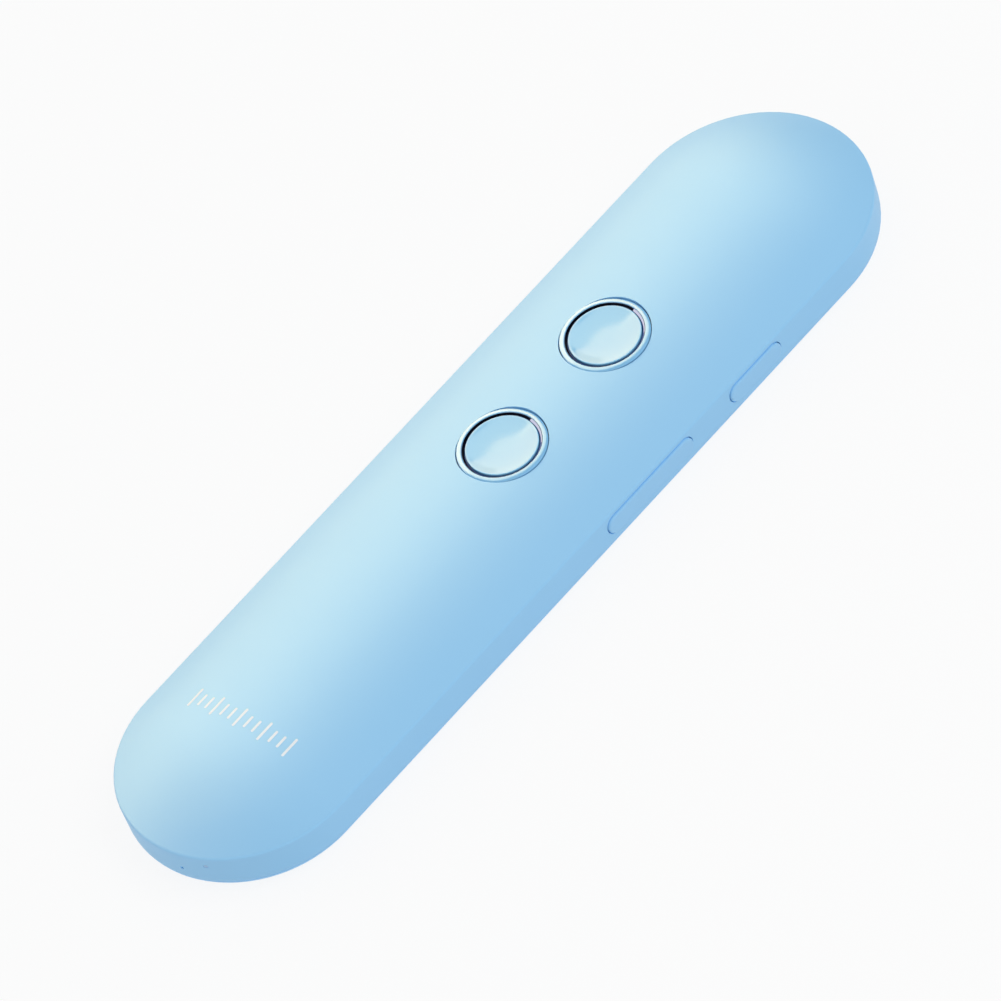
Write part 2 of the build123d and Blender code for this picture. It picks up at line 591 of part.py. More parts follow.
def back_cover():
    tray_top = PARTING_Z - PARTING_GAP
    lip_inner = casing(WALL + LIP_GAP + LIP_THICKNESS, FLOOR)
    cover = slab(casing() - casing(WALL, FLOOR), 0, tray_top)
    cover += slab(casing(WALL / 2) - lip_inner, FLOOR - ROOT, tray_top)
    lip = casing(WALL + LIP_GAP, FLOOR - ROOT) - lip_inner
    cover += slab(lip, tray_top - ROOT, LIP_TOP_Z)
    for y in SNAP_PLACES:
        for sign in (-1, 1):
            cover += lip & snap_place(y, sign)
            cover += snap_bead(y, sign)
    for x, y in CASE_SCREW_PLACES:
        cover += disc(CASE_PAD_R, FLOOR - ROOT, CASE_PAD_Z, x, y) & casing(WALL / 2)
        cover -= disc(CASE_HEAD_R + HOLE_GAP, -1, CASE_HEAD_TOP_Z, x, y)
        cover -= disc(CASE_SCREW_R + HOLE_GAP, -1, CASE_PAD_Z + 1, x, y)
    ring_inner = SPEAKER_R + SPEAKER_RING_GAP
    ring = disc(ring_inner + SPEAKER_RING_WALL, FLOOR - ROOT, FLOOR + SPEAKER_RING_HEIGHT, 0, SPEAKER_Y)
    ring -= disc(ring_inner, 0, HEIGHT, 0, SPEAKER_Y)
    terminal_half = TERMINAL_WIDTH / 2 + SPEAKER_RING_GAP
    ring -= box(-terminal_half, terminal_half, SPEAKER_Y - WIDTH, SPEAKER_Y, FLOOR, HEIGHT)
    cover += ring
    cover -= grille_holes()
    rib_half = BATTERY_WIDTH / 2 - BATTERY_RIB_MARGIN
    first_rib_y = BATTERY_START_Y - BATTERY_RIB_GAP - BATTERY_RIB_THICKNESS
    last_rib_y = BATTERY_END_Y + GUARD_GAP + GUARD_THICKNESS + BATTERY_RIB_GAP
    for y in (first_rib_y, last_rib_y):
        cover += box(-rib_half, rib_half, y, y + BATTERY_RIB_THICKNESS, FLOOR - ROOT, BATTERY_RIB_Z)
    for x, inboard in MIC_POST_PLACES:
        cover += disc(MIC_POST_R, FLOOR - ROOT, MIC_BOARD_Z, x, MIC_BOARD_START_Y + inboard)
    boot_r = MIC_R + MIC_BOOT_WALL + HOLE_GAP
    cover -= rod_y(boot_r, -LENGTH / 2, MIC_BOARD_START_Y, MIC_X, MIC_Z) & casing(WALL, FLOOR)
    return cover


def case_screws():
    tip_z = CASE_HEAD_TOP_Z + CASE_SCREW_BITE
    return [
        screw(x, y, CASE_HEAD_SUNK, CASE_HEAD_HEIGHT, CASE_HEAD_R, CASE_SCREW_R, tip_z)
        for x, y in CASE_SCREW_PLACES
    ]


def board_screws():
    head_z = BOARD_Z - BOARD_HEAD_HEIGHT
    tip_z = BOARD_TOP_Z + BOARD_SCREW_BITE - ROOT
    return [
        screw(x, y, head_z, BOARD_HEAD_HEIGHT, BOARD_HEAD_R, BOARD_SCREW_R, tip_z)
        for x, y in BOARD_SCREW_PLACES
    ]


# ---- Front buttons -----------------------------------------------------------
def button_bezel(y):
    """A low crowned ring on the spot face."""
    inner_r = RING_OUTER_R + SEAT_GAP
    crest_z = SPOT_FACE_Z + BEZEL_CREST
    rim_z = SPOT_FACE_Z + BEZEL_RIM
    width = BEZEL_OUTER_R - inner_r
    crest = (inner_r + BEZEL_CREST_AT * width, 0, crest_z)
    inner = (inner_r, 0, crest_z - BEZEL_LIP)
    rim = (BEZEL_OUTER_R, 0, rim_z)
    crown = (inner_r + BEZEL_BULGE * width, 0, rim_z + BEZEL_BULGE * (crest_z - rim_z))
    bezel = turned(
        Line((inner_r, 0, SPOT_FACE_Z), (BEZEL_OUTER_R, 0, SPOT_FACE_Z)),
        Line((BEZEL_OUTER_R, 0, SPOT_FACE_Z), rim),
        ThreePointArc(rim, crown, crest),
        Line(crest, inner),
        Line(inner, (inner_r, 0, SPOT_FACE_Z)),
    )
    return Pos(0, y, 0) * bezel


def button_ring(y):
    """The bright ring, with a face that slopes down towards the cap."""
    top_z = SPOT_FACE_Z + RING_RISE
    foot_z = top_z - RING_SLOPE
    outline = Polyline(
        (RING_INNER_R, 0, RING_LEDGE_Z),
        (RING_OUTER_R, 0, RING_LEDGE_Z),
        (RING_OUTER_R, 0, top_z),
        (RING_INNER_R, 0, foot_z),
        close=True,
    )
    return Pos(0, y, 0) * turned(outline)


def button_cap(y):
    """A dished cap with a flange that keeps it inside the shell."""
    rim_z = SPOT_FACE_Z + CAP_RIM_RISE
    dish_r = CAP_R - CAP_RIM_WIDTH
    dish_radius = (dish_r**2 + CAP_DISH**2) / (2 * CAP_DISH)
    half_r = dish_r / 2
    half_z = rim_z - CAP_DISH + dish_radius - sqrt(dish_radius**2 - half_r**2)
    flange_r = CAP_R + FLANGE_LIP
    shoulder = (CAP_R, 0, rim_z - CAP_RIM_WIDTH)
    rim = (dish_r, 0, rim_z)
    round_over = CAP_RIM_WIDTH * (1 - sqrt(0.5))
    cap = turned(
        Line((0, 0, FLANGE_BOTTOM_Z), (flange_r, 0, FLANGE_BOTTOM_Z)),
        Line((flange_r, 0, FLANGE_BOTTOM_Z), (flange_r, 0, FLANGE_TOP_Z)),
        Line((flange_r, 0, FLANGE_TOP_Z), (CAP_R, 0, FLANGE_TOP_Z)),
        Line((CAP_R, 0, FLANGE_TOP_Z), shoulder),
        ThreePointArc(shoulder, (CAP_R - round_over, 0, rim_z - round_over), rim),
        ThreePointArc(rim, (half_r, 0, half_z), (0, 0, rim_z - CAP_DISH)),
        Line((0, 0, rim_z - CAP_DISH), (0, 0, FLANGE_BOTTOM_Z)),
    )
    return Pos(0, y, 0) * cap


def button_pad(y):
    return disc(PAD_R, STEM_TOP_Z, FLANGE_BOTTOM_Z, 0, y)


def switch_body(y):
    body = chip(SWITCH_WIDTH, SWITCH_WIDTH, SWITCH_TOP_Z - BOARD_TOP_Z, 0, y, BOARD_TOP_Z)
    well_z = SWITCH_TOP_Z - SWITCH_STEM_HIDDEN - BUTTON_TRAVEL - STEM_GAP
    return body - disc(SWITCH_STEM_R + STEM_GAP, well_z, HEIGHT, 0, y)


def switch_stem(y):
    return disc(SWITCH_STEM_R, SWITCH_TOP_Z - SWITCH_STEM_HIDDEN, STEM_TOP_Z, 0, y)


# ---- Main board and what is on it --------------------------------------------
def main_board():
    corner_r = wall_x(BOARD_Z, WALL) - BOARD_CORNER_GAP
    end_y = END_Y + wall_x(BOARD_Z, WALL) - BOARD_END_GAP
    board = box(-BOARD_HALF_WIDTH, BOARD_HALF_WIDTH, BOARD_START_Y, end_y, BOARD_Z, BOARD_TOP_Z)
    corner_cut = box(-HALF, HALF, END_Y, LENGTH, 0, HEIGHT) - disc(corner_r, 0, HEIGHT, 0, END_Y)
    board -= corner_cut
    socket_half = SOCKET_WIDTH / 2 + SOCKET_GAP
    board -= box(-socket_half, socket_half, SOCKET_START_Y - SOCKET_GAP, LENGTH, 0, HEIGHT)
    notch_r = CASE_BOSS_R + BOSS_GAP
    for sign in (-1, 1):
        x0, x1 = sorted((sign * CASE_SCREW_X, sign * HALF))
        board -= disc(notch_r, 0, HEIGHT, sign * CASE_SCREW_X, CASE_SCREW_Y)
        board -= box(x0, x1, CASE_SCREW_Y - notch_r, CASE_SCREW_Y + notch_r, 0, HEIGHT)
    for x, y in BOARD_SCREW_PLACES:
        board -= disc(BOARD_SCREW_R + HOLE_GAP, 0, HEIGHT, x, y)
    return board


def shield_can():
    can = chip(SHIELD_WIDTH, SHIELD_LENGTH, SHIELD_HEIGHT, 0, SHIELD_Y, BOARD_TOP_Z)
    inner_width = SHIELD_WIDTH - 2 * SHIELD_SKIN
    inner_length = SHIELD_LENGTH - 2 * SHIELD_SKIN
    return can - chip(inner_width, inner_length, SHIELD_HEIGHT - SHIELD_SKIN, 0, SHIELD_Y, BOARD_TOP_Z)


def small_parts():
    """Capacitors and resistors in a column on each side of the shield can."""
    first_y = SHIELD_Y - SMALL_PART_PITCH * (SMALL_PART_ROWS - 1) / 2
    column_x = SHIELD_WIDTH / 2 + SMALL_PART_GAP + SMALL_PART_WIDTH / 2
    return [
        chip(SMALL_PART_WIDTH, SMALL_PART_LENGTH, SMALL_PART_HEIGHT,
             x, first_y + row * SMALL_PART_PITCH, BOARD_TOP_Z)
        for x in (-column_x, column_x)
        for row in range(SMALL_PART_ROWS)
    ]


def usb_socket_shell():
    shell = stadium_y(SOCKET_WIDTH, SOCKET_HEIGHT, SOCKET_START_Y, SOCKET_MOUTH_Y, 0, SOCKET_Z)
    inner_width = SOCKET_WIDTH - 2 * SOCKET_SKIN
    inner_height = SOCKET_HEIGHT - 2 * SOCKET_SKIN
    wing_z = BOARD_Z - SOCKET_WING_THICKNESS
    wing_y = (SOCKET_START_Y + SOCKET_MOUTH_Y) / 2 - SOCKET_WING_LENGTH
    wing_reach = SOCKET_WIDTH / 2 + SOCKET_WING_REACH
    shell += box(-wing_reach, wing_reach, wing_y, wing_y + SOCKET_WING_LENGTH, wing_z, BOARD_Z)
    return shell - stadium_y(
        inner_width, inner_height, SOCKET_START_Y + SOCKET_BACK, SOCKET_MOUTH_Y + 1, 0, SOCKET_Z
    )


def usb_socket_tongue():
    half_width = TONGUE_WIDTH / 2
    half_thickness = TONGUE_THICKNESS / 2
    start_y = SOCKET_START_Y + SOCKET_BACK
    tongue = box(
        -half_width, half_width, start_y, start_y + TONGUE_LENGTH,
        SOCKET_Z - half_thickness, SOCKET_Z + half_thickness,
    )
    tip_edges = tongue.faces().sort_by(Axis.Y)[-1].edges()
    return chamfer(tip_edges, TONGUE_CHAMFER)


def usb_contacts():
    """Gold strips along both faces of the tongue."""
    end_y = SOCKET_START_Y + SOCKET_BACK + TONGUE_LENGTH - CONTACT_PITCH
    first_x = -CONTACT_PITCH * (CONTACT_COUNT - 1) / 2
    top_z = SOCKET_Z + TONGUE_THICKNESS / 2
    bottom_z = SOCKET_Z - TONGUE_THICKNESS / 2 - CONTACT_THICKNESS
    return [
        chip(CONTACT_WIDTH, CONTACT_LENGTH, CONTACT_THICKNESS,
             first_x + i * CONTACT_PITCH, end_y - CONTACT_LENGTH / 2, z)
        for z in (bottom_z, top_z)
        for i in range(CONTACT_COUNT)
    ]


# ---- Battery -----------------------------------------------------------------
HEADER_X = BOARD_HALF_WIDTH - HEADER_FROM_EDGE
HEADER_Y = BOARD_START_Y + HEADER_OFFSET + HEADER_LENGTH / 2
PLUG_WIDTH = HEADER_WIDTH - 2 * (HEADER_WALL + PLUG_GAP)
PLUG_HEIGHT = HEADER_HEIGHT - HEADER_FLOOR
PLUG_Z = BOARD_TOP_Z + HEADER_FLOOR
PLUG_START_Y = BOARD_START_Y + HEADER_OFFSET
GUARD_START_Y = BATTERY_END_Y + GUARD_GAP
GUARD_END_Y = GUARD_START_Y + GUARD_THICKNESS


def battery_cell():
    half = BATTERY_WIDTH / 2
    cell = box(-half, half, BATTERY_START_Y, BATTERY_END_Y, BATTERY_Z, BATTERY_TOP_Z)
    return fillet(cell.edges().filter_by(Axis.Y), BATTERY_EDGE_R)


def battery_pad():
    half = BATTERY_WIDTH / 2 - BATTERY_PAD_MARGIN
    y0 = BATTERY_START_Y + BATTERY_PAD_MARGIN
    y1 = BATTERY_END_Y - BATTERY_PAD_MARGIN
    return box(-half, half, y0, y1, FLOOR, BATTERY_Z)


def battery_guard_board():
    half = BATTERY_WIDTH / 2 - GUARD_MARGIN
    z0 = FLOOR + GUARD_RISE
    board = box(-half, half, GUARD_START_Y, GUARD_END_Y, z0, z0 + GUARD_HEIGHT)
    # Two nickel tabs join the board to the cell.
    tab_y = BATTERY_END_Y + (GUARD_GAP + ROOT) / 2
    for x in (-half / 2, half / 2):
        board += chip(GUARD_THICKNESS, GUARD_GAP + ROOT, GUARD_HEIGHT / 2, x, tab_y, z0 + GUARD_HEIGHT / 4)
    return board


def battery_lead(x):
    """From the guard board up past the main board's edge and into the plug."""
    low_z = FLOOR + GUARD_RISE + GUARD_HEIGHT / 2
    high_z = PLUG_Z + PLUG_HEIGHT / 2
    rise_y = BOARD_START_Y - LEAD_EDGE_GAP - LEAD_R
    return wire_lead(
        LEAD_R, LEAD_BEND_R,
        (x, GUARD_END_Y, low_z), (x, rise_y, low_z), (x, rise_y, high_z), (x, PLUG_START_Y, high_z),
    )


def battery_header():
    header = chip(HEADER_WIDTH, HEADER_LENGTH, HEADER_HEIGHT, HEADER_X, HEADER_Y, BOARD_TOP_Z)
    mouth_half = HEADER_WIDTH / 2 - HEADER_WALL
    end_y = HEADER_Y + HEADER_LENGTH / 2 - HEADER_WALL
    return header - box(HEADER_X - mouth_half, HEADER_X + mouth_half, HEADER_Y - HEADER_LENGTH, end_y,
                        PLUG_Z, HEIGHT)


def battery_plug():
    end_y = HEADER_Y + HEADER_LENGTH / 2 - HEADER_WALL - PLUG_GAP
    return box(HEADER_X - PLUG_WIDTH / 2, HEADER_X + PLUG_WIDTH / 2, PLUG_START_Y, end_y,
               PLUG_Z, PLUG_Z + PLUG_HEIGHT)


# ---- Speaker -----------------------------------------------------------------
SPEAKER_Z = FLOOR + GASKET_THICKNESS
SPEAKER_TOP_Z = BOARD_Z - SPEAKER_TO_BOARD
MAGNET_TOP_Z = BOARD_Z - MAGNET_TOP_GAP
MAGNET_Z = SPEAKER_Z + MAGNET_LIFT


def tube(outer_r, inner_r, z0, z1, x=0.0, y=0.0):
    return disc(outer_r, z0, z1, x, y) - disc(inner_r, z0 - 1, z1 + 1, x, y)


def speaker_frame():
    frame = tube(SPEAKER_R, SPEAKER_R - SPEAKER_WALL, SPEAKER_Z, SPEAKER_TOP_Z, 0, SPEAKER_Y)
    frame += tube(SPEAKER_R, MAGNET_R, SPEAKER_TOP_Z - SPEAKER_BACK, SPEAKER_TOP_Z, 0, SPEAKER_Y)
    half = TERMINAL_WIDTH / 2
    rim_y = SPEAKER_Y - SPEAKER_R
    return frame + box(-half, half, rim_y - TERMINAL_REACH, rim_y + SPEAKER_WALL,
                       SPEAKER_TOP_Z - TERMINAL_HEIGHT, SPEAKER_TOP_Z)


def speaker_magnet():
    magnet = disc(MAGNET_R, MAGNET_Z, MAGNET_TOP_Z, 0, SPEAKER_Y)
    return magnet - tube(GAP_OUTER_R, GAP_INNER_R, MAGNET_Z - 1, MAGNET_TOP_Z - MAGNET_BACK, 0, SPEAKER_Y)


def speaker_cone():
    """A thin diaphragm, flat at the rim and dished inside the voice coil."""
    rim_r = SPEAKER_R - SPEAKER_WALL
    z0 = SPEAKER_Z
    z1 = z0 + CONE_THICKNESS
    outline = Polyline(
        (0, 0, z0 + CONE_RISE),
        (VOICE_COIL_R, 0, z0),
        (rim_r, 0, z0),
        (rim_r, 0, z1),
        (VOICE_COIL_R - VOICE_COIL_SKIN, 0, z1),
        (0, 0, z1 + CONE_RISE),
        close=True,
    )
    return Pos(0, SPEAKER_Y, 0) * turned(outline)


def voice_coil():
    z0 = SPEAKER_Z + CONE_THICKNESS
    return tube(VOICE_COIL_R, VOICE_COIL_R - VOICE_COIL_SKIN, z0, z0 + VOICE_COIL_HEIGHT, 0, SPEAKER_Y)


def speaker_lead(x):
    """From the speaker's terminal up to the board above it."""
    start_y = SPEAKER_Y - SPEAKER_R - TERMINAL_REACH
    low_z = SPEAKER_TOP_Z - TERMINAL_HEIGHT / 2
    run_y = start_y - SPEAKER_LEAD_RUN
    return wire_lead(
        SPEAKER_LEAD_R, SPEAKER_LEAD_BEND_R, (x, start_y, low_z), (x, run_y, low_z), (x, run_y, BOARD_Z)
    )


# ---- Microphone end ----------------------------------------------------------
def mic_board():
    y0 = MIC_BOARD_START_Y
    board = box(MIC_BOARD_LEFT, MIC_BOARD_RIGHT, y0, y0 + MIC_BOARD_LENGTH, MIC_BOARD_Z, MIC_BOARD_TOP_Z)
    board &= disc(wall_x(MIC_BOARD_Z, WALL) - MIC_BOARD_CORNER_GAP, 0, HEIGHT, 0, -END_Y)
    for sign in (-1, 1):
        board -= disc(CASE_BOSS_R + BOSS_GAP, 0, HEIGHT, sign * CASE_SCREW_X, -CASE_SCREW_Y)
    return board


def microphone():
    return rod_y(MIC_R, MIC_FACE_Y, MIC_BACK_Y, MIC_X, MIC_Z)


def microphone_boot():
    """A rubber cup that seals the capsule against the end wall."""
    boot = rod_y(MIC_R + MIC_BOOT_WALL, -LENGTH / 2, MIC_BACK_Y, MIC_X, MIC_Z)
    boot &= casing(WALL + BOOT_FIT, FLOOR + BOOT_FIT)
    boot -= rod_y(MIC_R, MIC_FACE_Y, MIC_BACK_Y + 1, MIC_X, MIC_Z)
    return boot - rod_y(MIC_BOOT_HOLE_R, -LENGTH / 2, MIC_BACK_Y, MIC_X, MIC_Z)


LED_START_Y = MIC_BOARD_START_Y + MIC_BOARD_GAP


def status_led():
    y = LED_START_Y + LED_LENGTH / 2
    return chip(LED_WIDTH, LED_LENGTH, LED_HEIGHT, LED_X, y, MIC_BOARD_TOP_Z)


def light_pipe():
    pipe = rod_y(LIGHT_PIPE_R, -LENGTH / 2, LED_START_Y, LED_X, LED_Z)
    return pipe & casing(LIGHT_PIPE_SUNK)


# ---- Flex cable --------------------------------------------------------------
MAIN_FLEX_Y = BOARD_START_Y + FLEX_CONNECTOR_FROM_EDGE + FLEX_CONNECTOR_LENGTH / 2
MIC_FLEX_Y = MIC_BOARD_START_Y + MIC_BOARD_LENGTH - FLEX_CONNECTOR_FROM_EDGE - FLEX_CONNECTOR_LENGTH / 2


def flex_connector(y, z):
    return chip(FLEX_CONNECTOR_WIDTH, FLEX_CONNECTOR_LENGTH, FLEX_CONNECTOR_HEIGHT, 0, y, z)


def flex_cable():
    """A flat ribbon that climbs over the battery from one board to the other."""
    low_z = MIC_BOARD_TOP_Z + (FLEX_CONNECTOR_HEIGHT - FLEX_THICKNESS) / 2
    board_z = BOARD_TOP_Z + (FLEX_CONNECTOR_HEIGHT - FLEX_THICKNESS) / 2
    top_z = BATTERY_TOP_Z + FLEX_CLEARANCE
    under = [
        (MIC_FLEX_Y + FLEX_CONNECTOR_LENGTH / 2, low_z),
        (BATTERY_START_Y - FLEX_RAMP - BATTERY_RIB_GAP, low_z),
        (BATTERY_START_Y - BATTERY_RIB_GAP, top_z),
        (BATTERY_END_Y + FLEX_CLEARANCE, top_z),
        (BATTERY_END_Y + FLEX_RAMP, board_z),
        (MAIN_FLEX_Y - FLEX_CONNECTOR_LENGTH / 2, board_z),
    ]
    over = [(y, z + FLEX_THICKNESS) for y, z in reversed(under)]
    corners = [(-FLEX_WIDTH / 2, y, z) for y, z in under + over]
    return extrude(make_face(Polyline(*corners, close=True)), FLEX_WIDTH, dir=(1, 0, 0))


# ---- Every node --------------------------------------------------------------
CHIP_X = -(SHIELD_WIDTH - CHIP_SIZE) / 2 + CHIP_TO_CAN
MEMORY_X = (SHIELD_WIDTH - MEMORY_WIDTH) / 2 - MEMORY_TO_CAN
CRYSTAL_Y = SHIELD_Y - (MEMORY_LENGTH + CRYSTAL_LENGTH) / 2 - CRYSTAL_TO_MEMORY
NODES = {
    "front_shell": front_shell(),
    "back_cover": back_cover(),
    "case_screws": case_screws(),
    "board_screws": board_screws(),
    "volume_rocker": volume_rocker(),
    "power_button": power_button(),
    "volume_up_switch_body": side_switch_body(VOLUME_SWITCH_PLACES[0]),
    "volume_up_switch_stem": side_switch_stem(VOLUME_SWITCH_PLACES[0]),
    "volume_down_switch_body": side_switch_body(VOLUME_SWITCH_PLACES[1]),
    "volume_down_switch_stem": side_switch_stem(VOLUME_SWITCH_PLACES[1]),
    "power_switch_body": side_switch_body(POWER_Y),
    "power_switch_stem": side_switch_stem(POWER_Y),
    "main_board": main_board(),
    "shield_can": shield_can(),
    "main_chip": chip(CHIP_SIZE, CHIP_SIZE, CHIP_HEIGHT, CHIP_X, SHIELD_Y, BOARD_TOP_Z),
    "memory_chip": chip(MEMORY_WIDTH, MEMORY_LENGTH, MEMORY_HEIGHT, MEMORY_X, SHIELD_Y, BOARD_TOP_Z),
    "crystal": chip(CRYSTAL_WIDTH, CRYSTAL_LENGTH, CRYSTAL_HEIGHT, MEMORY_X, CRYSTAL_Y, BOARD_TOP_Z),
    "audio_amplifier": chip(
        AMPLIFIER_SIZE, AMPLIFIER_SIZE, MEMORY_HEIGHT, -POWER_PARTS_X, BEFORE_SHIELD_Y, BOARD_TOP_Z
    ),
    "power_coil": chip(COIL_SIZE, COIL_SIZE, COIL_HEIGHT, POWER_PARTS_X, BEFORE_SHIELD_Y, BOARD_TOP_Z),
    "charger_chip": chip(CHARGER_SIZE, CHARGER_SIZE, MEMORY_HEIGHT, 0, BETWEEN_BUTTONS_Y, BOARD_TOP_Z),
    "antenna": chip(ANTENNA_WIDTH, ANTENNA_LENGTH, ANTENNA_HEIGHT, 0, ANTENNA_Y, BOARD_TOP_Z),
    "small_parts": small_parts(),
    "usb_socket_shell": usb_socket_shell(),
    "usb_socket_tongue": usb_socket_tongue(),
    "usb_contacts": usb_contacts(),
    "battery_cell": battery_cell(),
    "battery_pad": battery_pad(),
    "battery_guard_board": battery_guard_board(),
    "battery_lead_red": battery_lead(HEADER_X - LEAD_PITCH / 2),
    "battery_lead_black": battery_lead(HEADER_X + LEAD_PITCH / 2),
    "battery_header": battery_header(),
    "battery_plug": battery_plug(),
    "speaker_frame": speaker_frame(),
    "speaker_magnet": speaker_magnet(),
    "speaker_cone": speaker_cone(),
    "voice_coil": voice_coil(),
    "speaker_gasket": tube(SPEAKER_R, GASKET_INNER_R, FLOOR, SPEAKER_Z, 0, SPEAKER_Y),
    "speaker_mesh": disc(MESH_R, FLOOR, FLOOR + MESH_THICKNESS, 0, SPEAKER_Y),
    "speaker_lead_left": speaker_lead(-SPEAKER_LEAD_PITCH / 2),
    "speaker_lead_right": speaker_lead(SPEAKER_LEAD_PITCH / 2),
    "mic_board": mic_board(),
    "microphone": microphone(),
    "microphone_boot": microphone_boot(),
    "status_led": status_led(),
    "light_pipe": light_pipe(),
    "flex_cable": flex_cable(),
    "main_flex_connector": flex_connector(MAIN_FLEX_Y, BOARD_TOP_Z),
    "mic_flex_connector": flex_connector(MIC_FLEX_Y, MIC_BOARD_TOP_Z),
}
for place, y in (("upper", UPPER_BUTTON_Y), ("lower", LOWER_BUTTON_Y)):
    NODES[place + "_button_bezel"] = button_bezel(y)
    NODES[place + "_button_ring"] = button_ring(y)
    NODES[place + "_button_cap"] = button_cap(y)
    NODES[place + "_button_pad"] = button_pad(y)
    NODES[place + "_switch_body"] = switch_body(y)
    NODES[place + "_switch_stem"] = switch_stem(y)

os.makedirs("parts", exist_ok=True)
for name, shape in NODES.items():
    solids = [solid for piece in (shape if isinstance(shape, list) else [shape]) for solid in piece.solids()]
    export_step(Compound(children=solids) if len(solids) > 1 else solids[0], f"parts/{name}.step")
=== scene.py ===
# %% [markdown]
# # A handheld voice translator
#
# The real object is a slim pill, 140 mm long, moulded in satin pale blue plastic. Two round
# push buttons sit in its domed front, two keys stand in its right side wall, and a shallow
# back cover closes it over a battery, a circuit board and a speaker.
#
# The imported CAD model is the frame. It already holds every solid in its real place, so this
# script gives each of them its finish, and models again, with more detail, the turned pieces
# that the eye goes to first. Loading the frame comes before anything else.

import json
from collections import namedtuple
from math import cos, hypot, pi, radians, sin

import bmesh
import bpy
from mathutils import Matrix, Vector


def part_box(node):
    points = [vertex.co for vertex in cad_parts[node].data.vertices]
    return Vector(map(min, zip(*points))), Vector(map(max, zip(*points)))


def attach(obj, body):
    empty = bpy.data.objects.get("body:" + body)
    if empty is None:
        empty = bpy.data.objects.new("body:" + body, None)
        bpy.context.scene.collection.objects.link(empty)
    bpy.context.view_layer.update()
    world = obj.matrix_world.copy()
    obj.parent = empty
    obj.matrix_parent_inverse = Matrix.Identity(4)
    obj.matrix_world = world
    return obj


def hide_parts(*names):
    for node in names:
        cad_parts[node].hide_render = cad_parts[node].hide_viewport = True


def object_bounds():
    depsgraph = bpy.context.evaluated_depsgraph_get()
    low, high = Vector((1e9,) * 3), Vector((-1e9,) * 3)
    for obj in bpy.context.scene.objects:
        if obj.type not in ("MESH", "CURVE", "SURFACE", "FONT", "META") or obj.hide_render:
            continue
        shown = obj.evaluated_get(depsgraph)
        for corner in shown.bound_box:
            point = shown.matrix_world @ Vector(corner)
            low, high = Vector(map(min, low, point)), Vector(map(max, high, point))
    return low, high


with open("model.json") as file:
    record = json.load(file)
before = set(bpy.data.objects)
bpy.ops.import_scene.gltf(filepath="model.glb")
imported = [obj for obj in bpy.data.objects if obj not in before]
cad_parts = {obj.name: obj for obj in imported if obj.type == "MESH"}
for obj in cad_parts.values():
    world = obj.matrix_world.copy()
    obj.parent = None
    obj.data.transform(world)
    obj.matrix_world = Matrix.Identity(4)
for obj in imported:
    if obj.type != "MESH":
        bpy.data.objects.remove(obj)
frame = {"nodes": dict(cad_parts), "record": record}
cad_low, cad_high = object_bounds()
nodes = frame["nodes"]
MM = 0.001
cad_size = [round(s / MM, 1) for s in cad_high - cad_low]
print("the frame holds", len(nodes), "pieces, and is", cad_size, "mm")

# %% [markdown]
# ## The camera
#
# A long lens far away keeps the long sides of the pill almost parallel. The camera is held
# with a roll, so the object lies across the picture from lower left to upper right. Its three
# axes are written as directions in the object's own frame, because such a roll is hard to
# state as angles that a reader could check. It aims a little above the flat back, and a little
# to the left of and above the middle as the picture shows it, in millimetres.

# %% Camera
CAMERA_RIGHT = Vector((0.73169, 0.63624, -0.24461))
CAMERA_UP = Vector((-0.38627, 0.68270, 0.62026))
CAMERA_BACK = Vector((0.56163, -0.35935, 0.74528))
CAMERA_DISTANCE = 1.8467
CAMERA_LENS = 500.8
CAMERA_SENSOR = 36.0
AIM_LEVEL = 1.136
AIM_TO_LEFT = 1.011
AIM_ABOVE = 0.970

aim = Vector((0, 0, AIM_LEVEL * MM)) - AIM_TO_LEFT * MM * CAMERA_RIGHT + AIM_ABOVE * MM * CAMERA_UP
camera_data = bpy.data.cameras.new("camera")
camera_data.lens = CAMERA_LENS
camera_data.sensor_width = CAMERA_SENSOR
camera = bpy.data.objects.new("camera", camera_data)
bpy.context.scene.collection.objects.link(camera)
turn = Matrix((CAMERA_RIGHT, CAMERA_UP, CAMERA_BACK)).transposed().to_4x4()
camera.matrix_world = Matrix.Translation(aim + CAMERA_DISTANCE * CAMERA_BACK) @ turn
bpy.context.scene.camera = camera
bpy.context.scene.view_settings.view_transform = "Standard"
print("the camera has a", CAMERA_LENS, "mm lens and is", CAMERA_DISTANCE, "m away")

# %% [markdown]
# ## Colours
#
# A colour is easiest to choose on a screen, as three levels from 0 to 255. Shaders reckon in
# linear light, so each level goes through the screen's standard curve, which is straight for
# the darkest levels and a power above them.

# %% Colours
SCREEN_LEVELS = 255
STRAIGHT_UP_TO = 10
STRAIGHT_SLOPE = 12.92
CURVE_LIFT = 0.055
CURVE_POWER = 2.4


def linear(level):
    """A screen's level as linear light."""
    share = level / SCREEN_LEVELS
    if level <= STRAIGHT_UP_TO:
        return share / STRAIGHT_SLOPE
    return ((share + CURVE_LIFT) / (1 + CURVE_LIFT)) ** CURVE_POWER


def paint(red, green, blue):
    """A screen's colour as the linear light that shaders use."""
    return (linear(red), linear(green), linear(blue), 1.0)


def shaded(colour, share):
    """The same colour with only a share of its light."""
    return [c * share for c in colour[:3]] + [1.0]


# %% [markdown]
# ## Writing shaders as sums
#
# A material is a tree of nodes. Building each tree by hand takes a line for every node and
# every link, which hides the idea. The small class below wraps a node's output, so that
# `0.4 + 0.1 * grain` adds the two Math nodes by itself.

